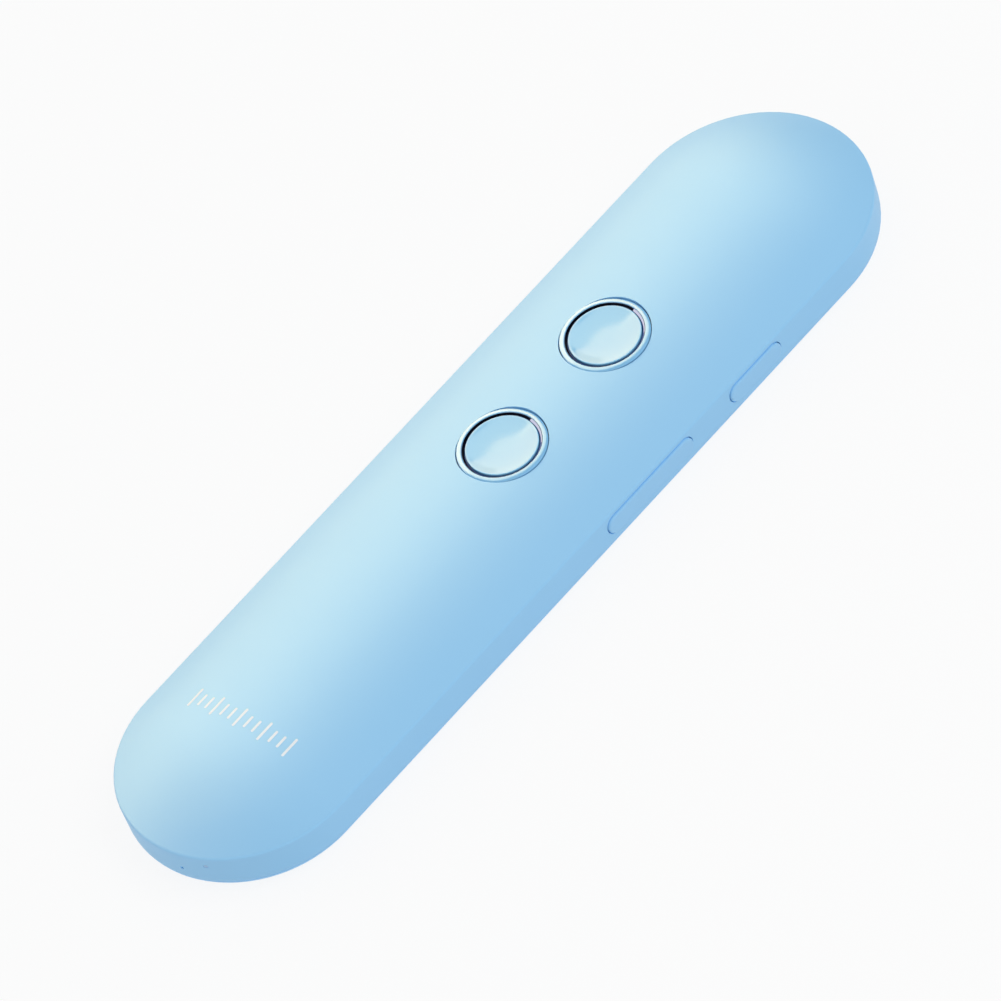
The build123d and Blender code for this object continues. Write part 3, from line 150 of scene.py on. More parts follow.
# %% Values that can be added and multiplied
class Value:
    """An output of a shader node that can be used in Python's own sums."""

    def __init__(self, finish, output):
        self.finish = finish
        self.output = output

    def maths(self, operation, other=0.0):
        return self.finish.node("ShaderNodeMath", {"operation": operation}, {0: self, 1: other})

    def __add__(self, other):
        return self.maths("ADD", other)

    def __sub__(self, other):
        return self.maths("SUBTRACT", other)

    def __mul__(self, other):
        return self.maths("MULTIPLY", other)

    __radd__ = __add__
    __rmul__ = __mul__

    def above(self, level):
        """1 where the value is over the level, and 0 elsewhere."""
        return self.maths("GREATER_THAN", level)

    def wave(self):
        return self.maths("SINE")

    def or_larger(self, other):
        """The larger of two values."""
        return self.maths("MAXIMUM", other)


# %% [markdown]
# Every other kind of node comes from one method, which takes the node's type, its settings and
# what goes into its sockets. A socket is fed with a plain value or with another node's output.
# Sizes of noise and depths of bumps are given in millimetres.

# %% A material under construction
class Finish:
    """One Principled shader, and what feeds it."""

    def __init__(self, name, **sockets):
        self.material = bpy.data.materials.new(name)
        self.material.use_nodes = True
        tree = self.material.node_tree
        tree.nodes.clear()
        self.nodes = tree.nodes
        self.links = tree.links
        self.surface = self.nodes.new("ShaderNodeOutputMaterial").inputs["Surface"]
        self.shader = self.nodes.new("ShaderNodeBsdfPrincipled")
        self.links.new(self.shader.outputs[0], self.surface)
        self.place = self.node("ShaderNodeTexCoord", output="Object")
        for socket, value in sockets.items():
            self.feed(socket.replace("_", " "), value)

    def node(self, kind, settings=None, sockets=None, output=0):
        """Adds a node, gives it its settings first, then its values and links."""
        made = self.nodes.new(kind)
        for key, value in (settings or {}).items():
            setattr(made, key, value)
        for key, value in (sockets or {}).items():
            self.fill(made.inputs[key], value)
        return Value(self, made.outputs[output])

    def fill(self, socket, value):
        if isinstance(value, Value):
            self.links.new(value.output, socket)
        else:
            socket.default_value = value

    def feed(self, socket, value):
        self.fill(self.shader.inputs[socket], value)

    def noise(self, size, detail=2.0, roughness=0.5, place=None):
        """Cloudy noise from 0 to 1, with lumps of about that size."""
        sockets = {
            "Vector": place or self.place,
            "Scale": 1 / (size * MM),
            "Detail": detail,
            "Roughness": roughness,
        }
        return self.node("ShaderNodeTexNoise", sockets=sockets)

    def stretched(self, **sockets):
        """The object's coordinates, scaled or turned, for noise that is longer one way."""
        return self.node("ShaderNodeMapping", sockets={"Vector": self.place, **sockets})

    def mix(self, factor, first, second):
        """One colour turning into another."""
        sockets = {0: factor, 6: first, 7: second}
        return self.node("ShaderNodeMix", {"data_type": "RGBA"}, sockets, output=2)

    def axis(self, letter):
        """One of the three coordinates, in millimetres."""
        split = self.node("ShaderNodeSeparateXYZ", sockets={0: self.place}, output="XYZ".index(letter))
        return split * (1 / MM)

    def bump(self, height, depth):
        """Lets a value from 0 to 1 stand out by a depth."""
        sockets = {"Height": height, "Distance": depth * MM, "Strength": 1.0}
        self.feed("Normal", self.node("ShaderNodeBump", sockets=sockets))


# %% [markdown]
# ## Moulded plastic
#
# The casing is a satin moulding: a spark-eroded mould leaves a grain of a few hundredths of a
# millimetre, too fine to see as dots, that spreads each highlight into a broad soft band. Grain,
# a faint cloudiness of the pigment and slightly uneven gloss are three noises of three sizes.
# The keys come from another mould in the same resin, so they share the recipe with a finer grain.
#
# Most plastics have a refractive index near 1.5. This resin is given 1.8, which reflects more
# of a lamp seen head-on. The lamps can then be weaker for the same shine, and a view that looks
# along the surface towards a lamp burns out less.

# %% Plastics
RESIN_IOR = 1.8
SHELL_BLUE = paint(146, 205, 245)
SHELL_SHADE = paint(142, 203, 244)
KEY_BLUE = paint(145, 202, 243)
BEZEL_BLUE = paint(136, 199, 239)
CAP_BLUE = paint(130, 198, 238)
CLOUD_SIZE = 18.0
PATCH_SIZE = 4.0
PATCH_SPREAD = 0.02
SWIRL_SIZE = 0.8
SWIRL_STRETCH = (1.0, 6.0, 1.0)
SWIRL_TURN = (0, 0, 0.5)
SWIRL_DULLS = 0.03
TINT_SIZE = 9.0
TINT_SHARE = 0.985


def moulding(name, colour, shade, roughness, grain, depth):
    """Satin plastic: cloudy pigment, uneven gloss and a fine mould grain."""
    finish = Finish(name, IOR=RESIN_IOR)
    cloud = finish.noise(CLOUD_SIZE, detail=3.0)
    finish.feed("Base Color", finish.mix(cloud, shade, colour))
    patches = finish.noise(PATCH_SIZE)
    finish.feed("Roughness", roughness - PATCH_SPREAD + 2 * PATCH_SPREAD * patches)
    finish.bump(finish.noise(grain, detail=1.0), depth)
    return finish.material


def gloss(name, colour, roughness, specular=0.5):
    """Polished plastic, with hair-fine swirls where a cloth has wiped it."""
    finish = Finish(name, IOR=RESIN_IOR, Specular_IOR_Level=specular)
    wiped = finish.stretched(Scale=SWIRL_STRETCH, Rotation=SWIRL_TURN)
    swirls = finish.noise(SWIRL_SIZE, detail=4.0, place=wiped)
    tint = finish.noise(TINT_SIZE)
    finish.feed("Base Color", finish.mix(tint, colour, shaded(colour, TINT_SHARE)))
    finish.feed("Roughness", roughness + SWIRL_DULLS * swirls)
    return finish.material


finishes = {
    "casing": moulding("satin_shell", SHELL_BLUE, SHELL_SHADE, roughness=0.48, grain=0.12, depth=0.004),
    "key_plastic": moulding("satin_keys", KEY_BLUE, SHELL_SHADE, roughness=0.46, grain=0.10, depth=0.003),
    "bezel": gloss("polished_bezel", BEZEL_BLUE, roughness=0.16, specular=0.8),
    "cap_gloss": gloss("polished_cap", CAP_BLUE, roughness=0.10),
}
print("mouldings:", ", ".join(finishes))

# %% [markdown]
# ## Metals
#
# Plated and rolled metals have no colour of their own below the shine, so the base colour is
# the colour of the reflection. Their detail is in the roughness: a plated ring is almost a
# mirror, a rolled tin can has streaks along one axis, and a screw head shows turning marks.

# %% Metals
MARK_SIZE = 1.5
MARK_SHARE = 0.9
SCREW_STREAK = (5.0, 5.0, 1.0)
ROLLED_STREAK = (1.0, 8.0, 1.0)
STREAK_DEPTH = 0.002


def metal(name, colour, roughness, streak=(1.0, 1.0, 1.0), spread=0.12, depth=0.0):
    """Bare or plated metal with streaks that are longer along one axis."""
    finish = Finish(name, Metallic=1.0)
    marks = finish.noise(MARK_SIZE, detail=4.0, roughness=0.6, place=finish.stretched(Scale=streak))
    finish.feed("Base Color", finish.mix(marks, shaded(colour, MARK_SHARE), colour))
    finish.feed("Roughness", roughness + spread * (marks - 0.5))
    if depth:
        finish.bump(marks, depth)
    return finish.material


finishes |= {
    "ring_chrome": metal("plated_ring", paint(100, 112, 168), roughness=0.05, spread=0.02),
    "screw_steel": metal("zinc_steel", paint(196, 198, 202), 0.34, SCREW_STREAK, depth=STREAK_DEPTH),
    "tin_plate": metal("tin_plate", paint(208, 210, 214), 0.30, ROLLED_STREAK, depth=STREAK_DEPTH),
    "gold_contact": metal("gold_flash", paint(232, 190, 92), roughness=0.22),
    "magnet_steel": metal("nickel_plate", paint(178, 180, 184), roughness=0.30),
}
print(len(finishes), "finishes with the metals")

# %% [markdown]
# ## What is inside
#
# Opened on a bench, each inner part has its own skin: a green solder mask with copper tracks
# under it, a crinkled foil pouch, an amber ribbon with printed lines, specked black packages.
# Each is one short recipe. The patterns are read from the object's own coordinates, so they
# stay put.

# %% Boards, chips and ribbons
TRACK_PITCH = 1.1
TRACK_SHARE = 0.80
TRACK_HEIGHT = 0.03
TRACK_BEND = 2.5
TRACK_BEND_SIZE = 7.0
SPECK_SIZE = 0.15
SPECK_DEPTH = 0.006
SPECK_GAIN = 1.6
SPECK_LIFT = 0.004
LINE_PITCH = 0.4
LINE_SHARE = 0.1
LINE_HEIGHT = 0.01
CRINKLE_SIZE = 3.5
CRINKLE_HEIGHT = 0.12
CRINKLE_DULLS = 0.14
POUCH_ROUGHNESS = 0.30


def circuit_board():
    """Solder mask over copper: tracks stand up a little and look paler."""
    finish = Finish("solder_mask", Roughness=0.32)
    bend = TRACK_BEND * finish.noise(TRACK_BEND_SIZE, detail=0.0)
    across = (finish.axis("X") + bend) * (2 * pi / TRACK_PITCH)
    along = (finish.axis("Y") + bend) * (pi / TRACK_PITCH)
    track = across.wave().or_larger(along.wave()).above(TRACK_SHARE)
    finish.feed("Base Color", finish.mix(track, paint(16, 92, 62), paint(38, 128, 84)))
    finish.bump(track, TRACK_HEIGHT)
    return finish.material


def filled_moulding(name, colour, roughness):
    """Filled epoxy, nylon or ceramic, with fine paler specks."""
    finish = Finish(name, Roughness=roughness)
    speck = finish.noise(SPECK_SIZE, detail=3.0)
    paler = [min(1, c * SPECK_GAIN + SPECK_LIFT) for c in colour[:3]] + [1.0]
    finish.feed("Base Color", finish.mix(speck, colour, paler))
    finish.bump(speck, SPECK_DEPTH)
    return finish.material


def ribbon():
    """Amber film over fine copper lines that run along the cable."""
    finish = Finish("amber_ribbon", Roughness=0.28)
    lines = (finish.axis("X") * (2 * pi / LINE_PITCH)).wave().above(LINE_SHARE)
    finish.feed("Base Color", finish.mix(lines, paint(196, 122, 44), paint(148, 78, 30)))
    finish.bump(lines, LINE_HEIGHT)
    return finish.material


def foil_pouch():
    """The cell's laminated pouch, with shallow crinkles."""
    finish = Finish("foil_pouch", Metallic=0.85)
    crinkle = finish.noise(CRINKLE_SIZE, detail=5.0, roughness=0.65)
    finish.feed("Base Color", finish.mix(crinkle, paint(188, 192, 198), paint(214, 217, 221)))
    finish.feed("Roughness", POUCH_ROUGHNESS + CRINKLE_DULLS * crinkle)
    finish.bump(crinkle, CRINKLE_HEIGHT)
    return finish.material


finishes |= {
    "circuit_board": circuit_board(),
    "chip_black": filled_moulding("chip_epoxy", paint(36, 37, 40), roughness=0.46),
    "switch_black": filled_moulding("switch_nylon", paint(44, 45, 48), roughness=0.42),
    "ceramic": filled_moulding("fired_ceramic", paint(170, 150, 122), roughness=0.36),
    "connector_white": filled_moulding("connector_nylon", paint(228, 226, 218), roughness=0.48),
    "stem_plastic": filled_moulding("stem_nylon", paint(214, 210, 200), roughness=0.44),
    "flex_amber": ribbon(),
    "cell_foil": foil_pouch(),
}
print(len(finishes), "finishes with the boards and packages")

# %% [markdown]
# ### Rubber, foam, cloth and wire
#
# The soft parts are matt, and what tells them apart is the size of their pores: fine in
# silicone, coarse in foam. The speaker's cloth and its copper winding are regular patterns, so
# they are made of waves and not of noise.

# %% Rubber, foam, cloth and wire
PORE_SHARE = 0.8
WEAVE_RISE = 1 / 4
WIRE_RISE = 1 / 3
HAZE = 0.22
HAZE_SPREAD = 0.05
HAZE_SIZE = 0.5


def soft(name, colour, roughness, size, depth):
    """Rubber, foam, film or ink: matt, with pores of one size."""
    finish = Finish(name, Roughness=roughness)
    pores = finish.noise(size, detail=3.0, roughness=0.6)
    finish.feed("Base Color", finish.mix(pores, shaded(colour, PORE_SHARE), colour))
    finish.bump(pores, depth)
    return finish.material


def woven(name, thread, gap, pitch):
    """A plain weave seen from above: two waves at right angles, one over the other."""
    finish = Finish(name, Roughness=0.8)
    across = (finish.axis("X") * (2 * pi / pitch)).wave()
    along = (finish.axis("Y") * (2 * pi / pitch)).wave()
    weave = 0.5 + 0.5 * (across * along)
    finish.feed("Base Color", finish.mix(weave, gap, thread))
    finish.bump(weave, pitch * WEAVE_RISE)
    return finish.material


def wound(name, wire, shadow, pitch):
    """Enamelled wire in close turns, one above the other."""
    finish = Finish(name, Metallic=0.9, Roughness=0.3)
    turns = 0.5 + 0.5 * (finish.axis("Z") * (2 * pi / pitch)).wave()
    finish.feed("Base Color", finish.mix(turns, shadow, wire))
    finish.bump(turns, pitch * WIRE_RISE)
    return finish.material


def clear(name, colour):
    """Water-clear moulding for the lamp and its light pipe."""
    finish = Finish(name, Transmission_Weight=0.15, IOR=1.49, Specular_IOR_Level=0.25)
    finish.feed("Base Color", colour)
    finish.feed("Roughness", HAZE + HAZE_SPREAD * finish.noise(HAZE_SIZE))
    return finish.material


finishes |= {
    "silicone": soft("silicone", paint(138, 142, 148), roughness=0.62, size=0.3, depth=0.006),
    # Near black, for the ring of painted shade in the groove round each bezel.
    "groove_shade_black": soft("painted_groove_shade", paint(22, 30, 44), roughness=0.7, size=0.2, depth=0.002),
    "foam": soft("foam", paint(92, 93, 97), roughness=0.92, size=0.25, depth=0.05),
    "diaphragm": soft("cone_film", paint(120, 121, 126), roughness=0.38, size=1.2, depth=0.01),
    "print_white": soft("white_ink", paint(244, 248, 252), roughness=0.5, size=0.2, depth=0.001),
    "mesh_cloth": woven("speaker_cloth", paint(84, 87, 92), paint(18, 18, 20), pitch=0.32),
    "coil_copper": wound("copper_winding", paint(214, 130, 84), paint(120, 58, 32), pitch=0.12),
    "wire_red": gloss("red_insulation", paint(196, 34, 30), roughness=0.34),
    "wire_black": gloss("black_insulation", paint(32, 32, 35), roughness=0.34),
    "led_clear": clear("clear_moulding", paint(176, 212, 246)),
}
print(len(finishes), "finishes in all")

# %% [markdown]
# ## Dressing the CAD pieces
#
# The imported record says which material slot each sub-part has, so one loop dresses them all. A
# piece that a detailed one will stand for later keeps its finish too, which does no harm.

# %% Give every CAD piece its finish
for part in frame["record"]["subparts"]:
    piece = nodes[part["node"]]
    piece.data.materials.clear()
    piece.data.materials.append(finishes[part["material_slot"]])

# %% [markdown]
# ## Turned pieces
#
# A bezel, a ring, a cap and a black ring of painted shade are all turned shapes. One function
# draws half a section in millimetres, spins it about the button's axis, rounds the sharp corners
# a little, as every real corner is, and puts the piece where its CAD node is. Radii and heights
# are measured on that node, so the pieces keep fitting if the CAD model changes.

# %% Helpers for new pieces
SPIN_STEPS = 144
SHARP_ANGLE = radians(28)
FLAT_ANGLE = radians(8)
MERGE_REACH = 0.0005
CORNER = 0.03
CORNER_SEGMENTS = 3

Turned = namedtuple("Turned", "middle low high reach")


def finished(mesh_in_mm, name, body, slot, stands_for=(), smooth_to=SHARP_ANGLE):
    """Scales a bmesh to metres and shows it as a piece that rides on a CAD body."""
    bmesh.ops.scale(mesh_in_mm, vec=(MM, MM, MM), verts=mesh_in_mm.verts)
    bmesh.ops.recalc_face_normals(mesh_in_mm, faces=mesh_in_mm.faces)
    mesh = bpy.data.meshes.new(name)
    mesh_in_mm.to_mesh(mesh)
    mesh_in_mm.free()
    mesh.shade_smooth()
    mesh.set_sharp_from_angle(angle=smooth_to)
    mesh.materials.append(finishes[slot])
    piece = bpy.data.objects.new(name, mesh)
    bpy.context.scene.collection.objects.link(piece)
    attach(piece, body)
    if stands_for:
        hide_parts(*stands_for)
    print(name, len(mesh.polygons), "faces, on", body)
    return piece


def arc(centre, reach, start, end, steps):
    """Points on an ellipse about a centre, with angles in degrees."""
    turns = [radians(start + (end - start) * i / steps) for i in range(steps + 1)]
    return [(centre[0] + reach[0] * cos(t), centre[1] + reach[1] * sin(t)) for t in turns]


def lathe(section, middle, closed):
    """Spins half a section about a vertical axis and rounds its sharp corners."""
    shape = bmesh.new()
    points = [shape.verts.new((radius, 0, height)) for radius, height in section]
    pairs = list(zip(points, points[1:])) + ([(points[-1], points[0])] if closed else [])
    edges = [shape.edges.new(pair) for pair in pairs]
    bmesh.ops.spin(
        shape, geom=points + edges, cent=(0, 0, 0), axis=(0, 0, 1), angle=2 * pi,
        steps=SPIN_STEPS, use_merge=True,
    )
    bmesh.ops.remove_doubles(shape, verts=shape.verts, dist=MERGE_REACH)
    bmesh.ops.recalc_face_normals(shape, faces=shape.faces)
    sharp = [e for e in shape.edges if len(e.link_faces) == 2 and e.calc_face_angle() > SHARP_ANGLE]
    bmesh.ops.bevel(
        shape, geom=sharp, offset=CORNER, segments=CORNER_SEGMENTS, profile=0.5, affect="EDGES",
        material=-1, clamp_overlap=True,
    )
    bmesh.ops.translate(shape, vec=(middle.x, middle.y, 0), verts=shape.verts)
    return shape


def measured(node):
    """A node's middle in plan, its levels, and its points as radius and level, in millimetres."""
    low, high = (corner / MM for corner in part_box(node))
    middle = (low + high) / 2
    points = [v.co for v in nodes[node].data.vertices]
    reach = [(hypot(p.x / MM - middle.x, p.y / MM - middle.y), p.z / MM) for p in points]
    return Turned(middle, low.z, high.z, reach)


# %% [markdown]
# ### Sections of the buttons
#
# Three rings nest in each other. The bezel is a low crown, highest near its inner edge. The
# plated ring inside it falls towards the cap like the wall of a funnel, so it mirrors the far
# side of the room. The cap is dished like a contact lens, and its thin rim is rolled over. A
# thin near black ring lies in the fine groove between the bezel and the shell: it is painted
# shade, which darkens the groove's line.

# %% Sections of bezel, seal, ring and cap
CROWN_STEPS = 14
DISH_STEPS = 26
DISH_POWER = 3.6
DISH_CORE = 0.5
RIM_STEPS = 8
BEZEL_ROLL = 0.16
CAP_ROLL = 0.35
# Sizes of the ring of painted shade in the groove round each bezel, in millimetres.
GROOVE_SHADE_SLACK = 0.005
GROOVE_SHADE_WIDTH = 0.13
GROOVE_SHADE_SUNK = 0.02
GROOVE_SHADE_DEPTH = 0.4
ON_EDGE = 0.01
ON_RIM = 0.005
CLEARLY_ABOVE = 0.2


def bezel_section(bezel):
    """A crown from the outer rim to a rolled inner edge."""
    inner = min(r for r, z in bezel.reach)
    outer = max(r for r, z in bezel.reach)
    rim = min(z for r, z in bezel.reach if r > outer - ON_EDGE and z > bezel.low + ON_EDGE)
    roll = BEZEL_ROLL * (outer - inner)
    crest_r = inner + roll
    crown = arc((crest_r, rim), (outer - crest_r, bezel.high - rim), 0, 90, CROWN_STEPS)
    rolled = arc((crest_r, bezel.high - roll), (roll, roll), 90, 180, RIM_STEPS)
    return [(outer, bezel.low)] + crown + rolled[1:] + [(inner, bezel.low)]


def groove_shade_section(bezel):
    """A thin near black lip in the fine groove round the bezel: painted shade that darkens it."""
    inner = max(r for r, z in bezel.reach) + GROOVE_SHADE_SLACK
    outer = inner + GROOVE_SHADE_WIDTH
    foot = bezel.low - GROOVE_SHADE_DEPTH
    top = bezel.low - GROOVE_SHADE_SUNK
    return [(outer, foot), (outer, top), (inner, top), (inner, foot)]


def ring_section(ring):
    """A band whose top falls inwards, from the bezel to the cap."""
    inner = min(r for r, z in ring.reach)
    outer = max(r for r, z in ring.reach)
    lip = max(z for r, z in ring.reach if r < inner + ON_EDGE)
    return [(inner, ring.low), (outer, ring.low), (outer, ring.high), (inner, lip)]


def cap_section(cap):
    """A dish with a rolled rim, a skirt and the flange that holds it in the shell."""
    flange = max(r for r, z in cap.reach)
    flange_top = max(z for r, z in cap.reach if r > flange - ON_EDGE)
    radius = max(r for r, z in cap.reach if z > flange_top + CLEARLY_ABOVE)
    dish_r = max(r for r, z in cap.reach if z > cap.high - ON_RIM)
    floor_z = min(z for r, z in cap.reach if r < DISH_CORE and z > cap.low + CLEARLY_ABOVE)
    shares = [i / DISH_STEPS for i in range(DISH_STEPS + 1)]
    dish = [(dish_r * share, floor_z + (cap.high - floor_z) * share**DISH_POWER) for share in shares]
    roll = CAP_ROLL * (radius - dish_r)
    rolled = arc((radius - roll, cap.high - roll), (roll, roll), 90, 0, RIM_STEPS)
    skirt = [(radius, flange_top), (flange, flange_top), (flange, cap.low), (0, cap.low)]
    return dish + rolled + skirt


# %% [markdown]
# ### Both buttons
#
# The two buttons are alike, so one loop makes them. A cap rides on the body of its own button
# and moves with it; bezel, ring and the black ring of painted shade stay with the casing. The
# ring's shading breaks from a smaller angle on, which keeps its mirror face apart from its edges.

# %% Bezels, seals, plated rings and caps
for place in ("upper", "lower"):
    rim = measured(place + "_button_bezel")
    # A near black ring of painted shade, sunk in the groove round the bezel, darkens its line.
    groove_shade = lathe(groove_shade_section(rim), rim.middle, True)
    finished(groove_shade, place + "_groove_shade", "casing", "groove_shade_black")
    for part, section, closed, body, slot, smooth_to in (
        ("bezel", bezel_section, True, "casing", "bezel", SHARP_ANGLE),
        ("ring", ring_section, True, "casing", "ring_chrome", FLAT_ANGLE),
        ("cap", cap_section, False, place + "_button", "cap_gloss", SHARP_ANGLE),
    ):
        node = f"{place}_button_{part}"
        size = measured(node)
        turned = lathe(section(size), size.middle, closed)
        finished(turned, f"{place}_{part}", body, slot, [node], smooth_to)

# %% [markdown]
# ### The printed mark
#
# White ink bars stand on the dome near the bottom end, like the level meter of a recorder. Ink
# is a film of two hundredths of a millimetre. Each bar is a small block with rounded ends that
# is tipped to lie along the dome, so it keeps the same thickness all over. The dome's section
# is part of a circle through its crest and the two creases where it meets the walls.

# %% Ink bars
BAR_COUNT = 13
BAR_PITCH = 1.45
BAR_WIDTH = 0.36
BAR_SHORT = 2.0
BAR_TALL = 3.2
TALL_EVERY = 3
END_ROUNDING = 0.49
END_SEGMENTS = 5
MARK_X = -0.7
MARK_Y = -50.2
INK_FILM = 0.02
INK_ROOT = 0.03
CREASE_Z = 7.1

half_width = max(v.co.x for v in nodes["front_shell"].data.vertices) / MM
crest_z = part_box("front_shell")[1].z / MM
dome_rise = crest_z - CREASE_Z
dome_radius = (half_width**2 + dome_rise**2) / (2 * dome_rise)
print("dome radius", round(dome_radius, 2), "mm")

ink = bmesh.new()
one_bar = bpy.data.meshes.new("one_bar")
for i in range(BAR_COUNT):
    x = MARK_X + (i - (BAR_COUNT - 1) / 2) * BAR_PITCH
    length = BAR_TALL if i % TALL_EVERY == 0 else BAR_SHORT
    bar = bmesh.new()
    bmesh.ops.create_cube(bar, size=1.0)
    bmesh.ops.scale(bar, vec=(BAR_WIDTH, length, INK_FILM + INK_ROOT), verts=bar.verts)
    uprights = [e for e in bar.edges if abs(e.verts[0].co.z - e.verts[1].co.z) > INK_FILM]
    bmesh.ops.bevel(
        bar, geom=uprights, offset=BAR_WIDTH * END_ROUNDING, segments=END_SEGMENTS, profile=0.5,
        affect="EDGES", material=-1,
    )
    lift = Matrix.Translation((0, MARK_Y, dome_radius + (INK_FILM - INK_ROOT) / 2))
    lean = Matrix.Rotation(x / dome_radius, 4, "Y")
    drop = Matrix.Translation((0, 0, crest_z - dome_radius))
    bmesh.ops.transform(bar, matrix=drop @ lean @ lift, verts=bar.verts)
    bar.to_mesh(one_bar)
    bar.free()
    ink.from_mesh(one_bar)
bpy.data.meshes.remove(one_bar)
finished(ink, "printed_bars", "casing", "print_white")

# %% [markdown]
# ## The studio
#
# The object lies on a white sheet and gets a cool fill from the room. To the camera and to
# mirrors the sheet is a clean white, but it still takes the object's shadow. Seen from below
# the sheet lets the view through, so that the back cover can be looked at too. It lies a hair
# under the object, so that the two never share a plane.

# %% Floor
FLOOR_REACH = 12.0
FLOOR_GLOW = 0.88
FLOOR_DROP = 0.03
FLOOR_WHITE = (0.78, 0.79, 0.80, 1.0)
CLEAN_WHITE = (1, 1, 1, 1)


def flat_sheet(name, reach, place):
    """One flat face, with its half sizes and its place in metres."""
    sheet_mesh = bmesh.new()
    bmesh.ops.create_grid(sheet_mesh, x_segments=1, y_segments=1, size=1.0)
    bmesh.ops.scale(sheet_mesh, vec=(*reach, 1.0), verts=sheet_mesh.verts)
    bmesh.ops.transform(sheet_mesh, matrix=place, verts=sheet_mesh.verts)
    data = bpy.data.meshes.new(name)
    sheet_mesh.to_mesh(data)
    sheet_mesh.free()
    piece = bpy.data.objects.new(name, data)
    bpy.context.scene.collection.objects.link(piece)
    return piece


floor = flat_sheet("floor", (FLOOR_REACH, FLOOR_REACH), Matrix.Translation((0, 0, -FLOOR_DROP * MM)))

paper = Finish("white_paper", Roughness=0.9)
paper.feed("Base Color", FLOOR_WHITE)
seen = paper.node("ShaderNodeLightPath", output="Is Camera Ray")
mirrored = paper.node("ShaderNodeLightPath", output="Is Glossy Ray")
through = paper.node("ShaderNodeLightPath", output="Is Transmission Ray")
looked_at = seen.or_larger(mirrored).or_larger(through)
glow = paper.node("ShaderNodeEmission", sockets={"Color": CLEAN_WHITE, "Strength": 1.0})
lit = Value(paper, paper.shader.outputs[0])
sheet = paper.node("ShaderNodeMixShader", sockets={0: FLOOR_GLOW * looked_at, 1: lit, 2: glow})
behind = paper.node("ShaderNodeNewGeometry", output="Backfacing")
window = paper.node("ShaderNodeBsdfTransparent")
surface = paper.node("ShaderNodeMixShader", sockets={0: behind, 1: sheet, 2: window})
paper.fill(paper.surface, surface)
floor.data.materials.append(paper.material)
print("the floor reaches", FLOOR_REACH, "m each way")

# %% [markdown]
# ### The room
#
# The room lights the object with its cool fill. A ray that comes straight from the camera, or
# by way of a mirror or a clear part, meets clean white instead.

# %% Room
ROOM_FILL = (0.955, 0.975, 1.0, 1.0)
ROOM_FILL_LEVEL = 0.715

world = bpy.data.worlds.new("room")
world.use_nodes = True
bpy.context.scene.world = world
room = world.node_tree
room.nodes.clear()
room_output = room.nodes.new("ShaderNodeOutputWorld")
room_mix = room.nodes.new("ShaderNodeMixShader")
room_ray = room.nodes.new("ShaderNodeLightPath")
room_fill = room.nodes.new("ShaderNodeBackground")
room_fill.inputs["Color"].default_value = ROOM_FILL
room_fill.inputs["Strength"].default_value = ROOM_FILL_LEVEL
room_white = room.nodes.new("ShaderNodeBackground")
room_white.inputs["Color"].default_value = CLEAN_WHITE
not_direct = room.nodes.new("ShaderNodeMath")
not_direct.operation = "MAXIMUM"
any_look = room.nodes.new("ShaderNodeMath")
any_look.operation = "MAXIMUM"
for source, target in (
    (room_ray.outputs["Is Glossy Ray"], not_direct.inputs[0]),
    (room_ray.outputs["Is Transmission Ray"], not_direct.inputs[1]),
    (room_ray.outputs["Is Camera Ray"], any_look.inputs[0]),
    (not_direct.outputs[0], any_look.inputs[1]),
    (any_look.outputs[0], room_mix.inputs[0]),
    (room_fill.outputs[0], room_mix.inputs[1]),
    (room_white.outputs[0], room_mix.inputs[2]),
    (room_mix.outputs[0], room_output.inputs["Surface"]),
):
    room.links.new(source, target)
print("the room has", len(room.nodes), "nodes and", len(room.links), "links")

# %% [markdown]
# ### Black cards
#
# A photographer hangs black cards round a shiny object, so that its edges get dark lines. Only
# mirror-like rays see these: the one overhead darkens the upper left of each dished cap and the
# plated rings, the others the two ends of the rings. Each has a centre and half sizes in
# metres, and a tilt in degrees.

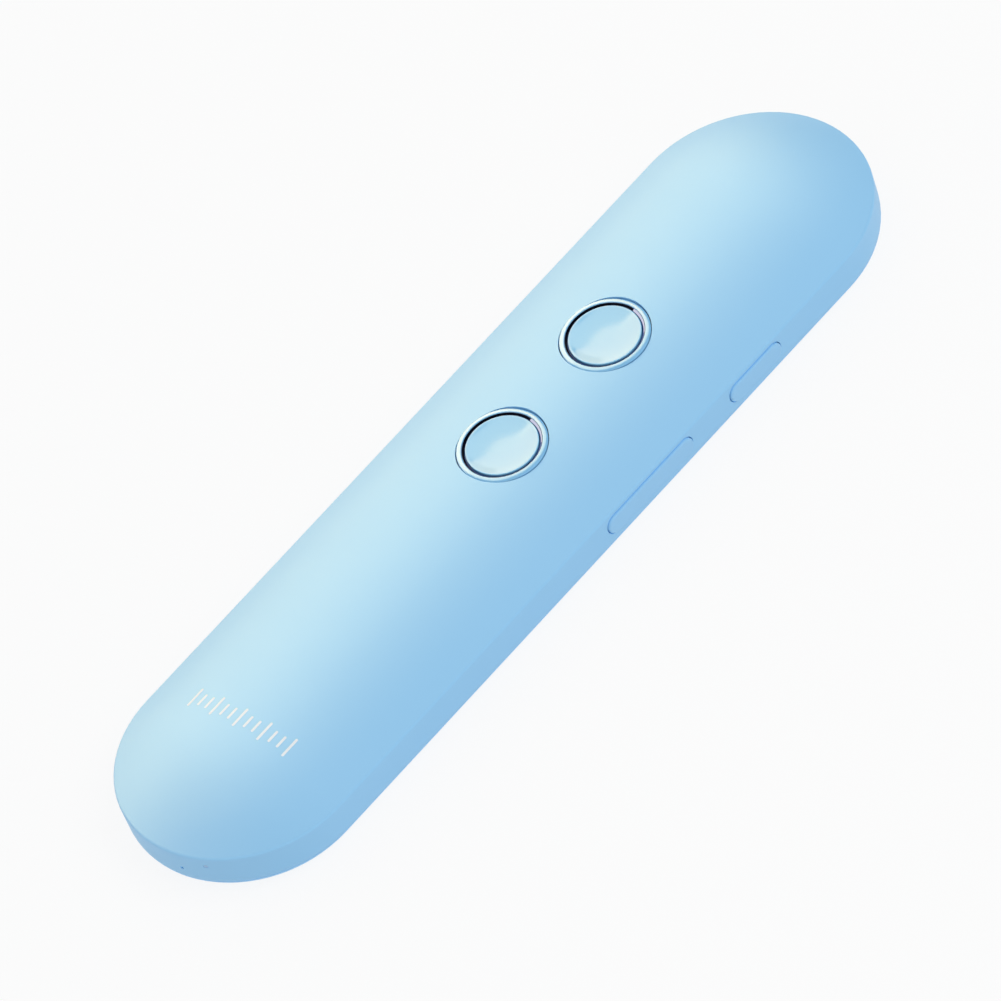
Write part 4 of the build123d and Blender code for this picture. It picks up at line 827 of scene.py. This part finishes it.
# %% Black cards
CARD_PLACES = {
    "overhead_card": ((0.40, 0.05, 0.55), (0.52, 0.52), 0),
    "far_card": ((-0.10, 0.70, 0.25), (0.75, 0.50), 90),
    "near_card": ((-0.20, -0.19, 0.33), (0.14, 0.15), 0),
}
CARD_BLIND_TO = ("camera", "diffuse", "transmission", "shadow", "volume_scatter")
flock = soft("black_flock", paint(14, 14, 16), roughness=0.95, size=2.0, depth=0.05)
for name, (centre, reach, tilt) in CARD_PLACES.items():
    card = flat_sheet(name, reach, Matrix.Translation(centre) @ Matrix.Rotation(radians(tilt), 4, "X"))
    card.data.materials.append(flock)
    for ray in CARD_BLIND_TO:
        setattr(card, "visible_" + ray, False)
print("cards:", ", ".join(CARD_PLACES))

# %% [markdown]
# ### Lamps
#
# Two warm boxes on the left are seen only as shine: the low one makes the broad pale band along
# the dome, the high one carries it over the crest. A white box overhead and one below the sheet,
# which casts no shadow, only add to the plain colour.

# %% Lamps
def soft_box(name, direction, distance, size, watts, colour, lights):
    """A rectangular lamp that faces the object and is out of the camera's sight."""
    data = bpy.data.lights.new(name, "AREA")
    data.shape = "RECTANGLE"
    data.size, data.size_y = size
    data.energy = watts
    data.color = colour
    lamp = bpy.data.objects.new(name, data)
    towards = Vector(direction).normalized()
    lamp.location = towards * distance
    lamp.rotation_mode = "QUATERNION"
    lamp.rotation_quaternion = towards.to_track_quat("Z", "Y")
    lamp.visible_camera = False
    lamp.visible_glossy = lights != "diffuse"
    lamp.visible_diffuse = lights != "glossy"
    bpy.context.scene.collection.objects.link(lamp)
    print(name, watts, "W,", lights, "only")
    return lamp


soft_box(
    "low_box", (-0.87, 0.09, 0.50), distance=0.60, size=(1.00, 0.50),
    watts=6.0, colour=(1.0, 0.75, 0.27), lights="glossy",
)
soft_box(
    "high_box", (-0.40, 0.10, 0.91), distance=0.60, size=(1.00, 0.34),
    watts=1.85, colour=(1.0, 0.88, 0.32), lights="glossy",
)
soft_box(
    "top_box", (0.50, 0.25, 0.83), distance=0.90, size=(0.60, 0.60),
    watts=2.25, colour=(1.0, 1.0, 1.0), lights="diffuse",
)
below = soft_box(
    "below_box", (-0.12, 0.08, -1.0), distance=0.80, size=(0.30, 0.30),
    watts=2.3, colour=(1.0, 0.98, 0.94), lights="diffuse",
)
below.data.use_shadow = False
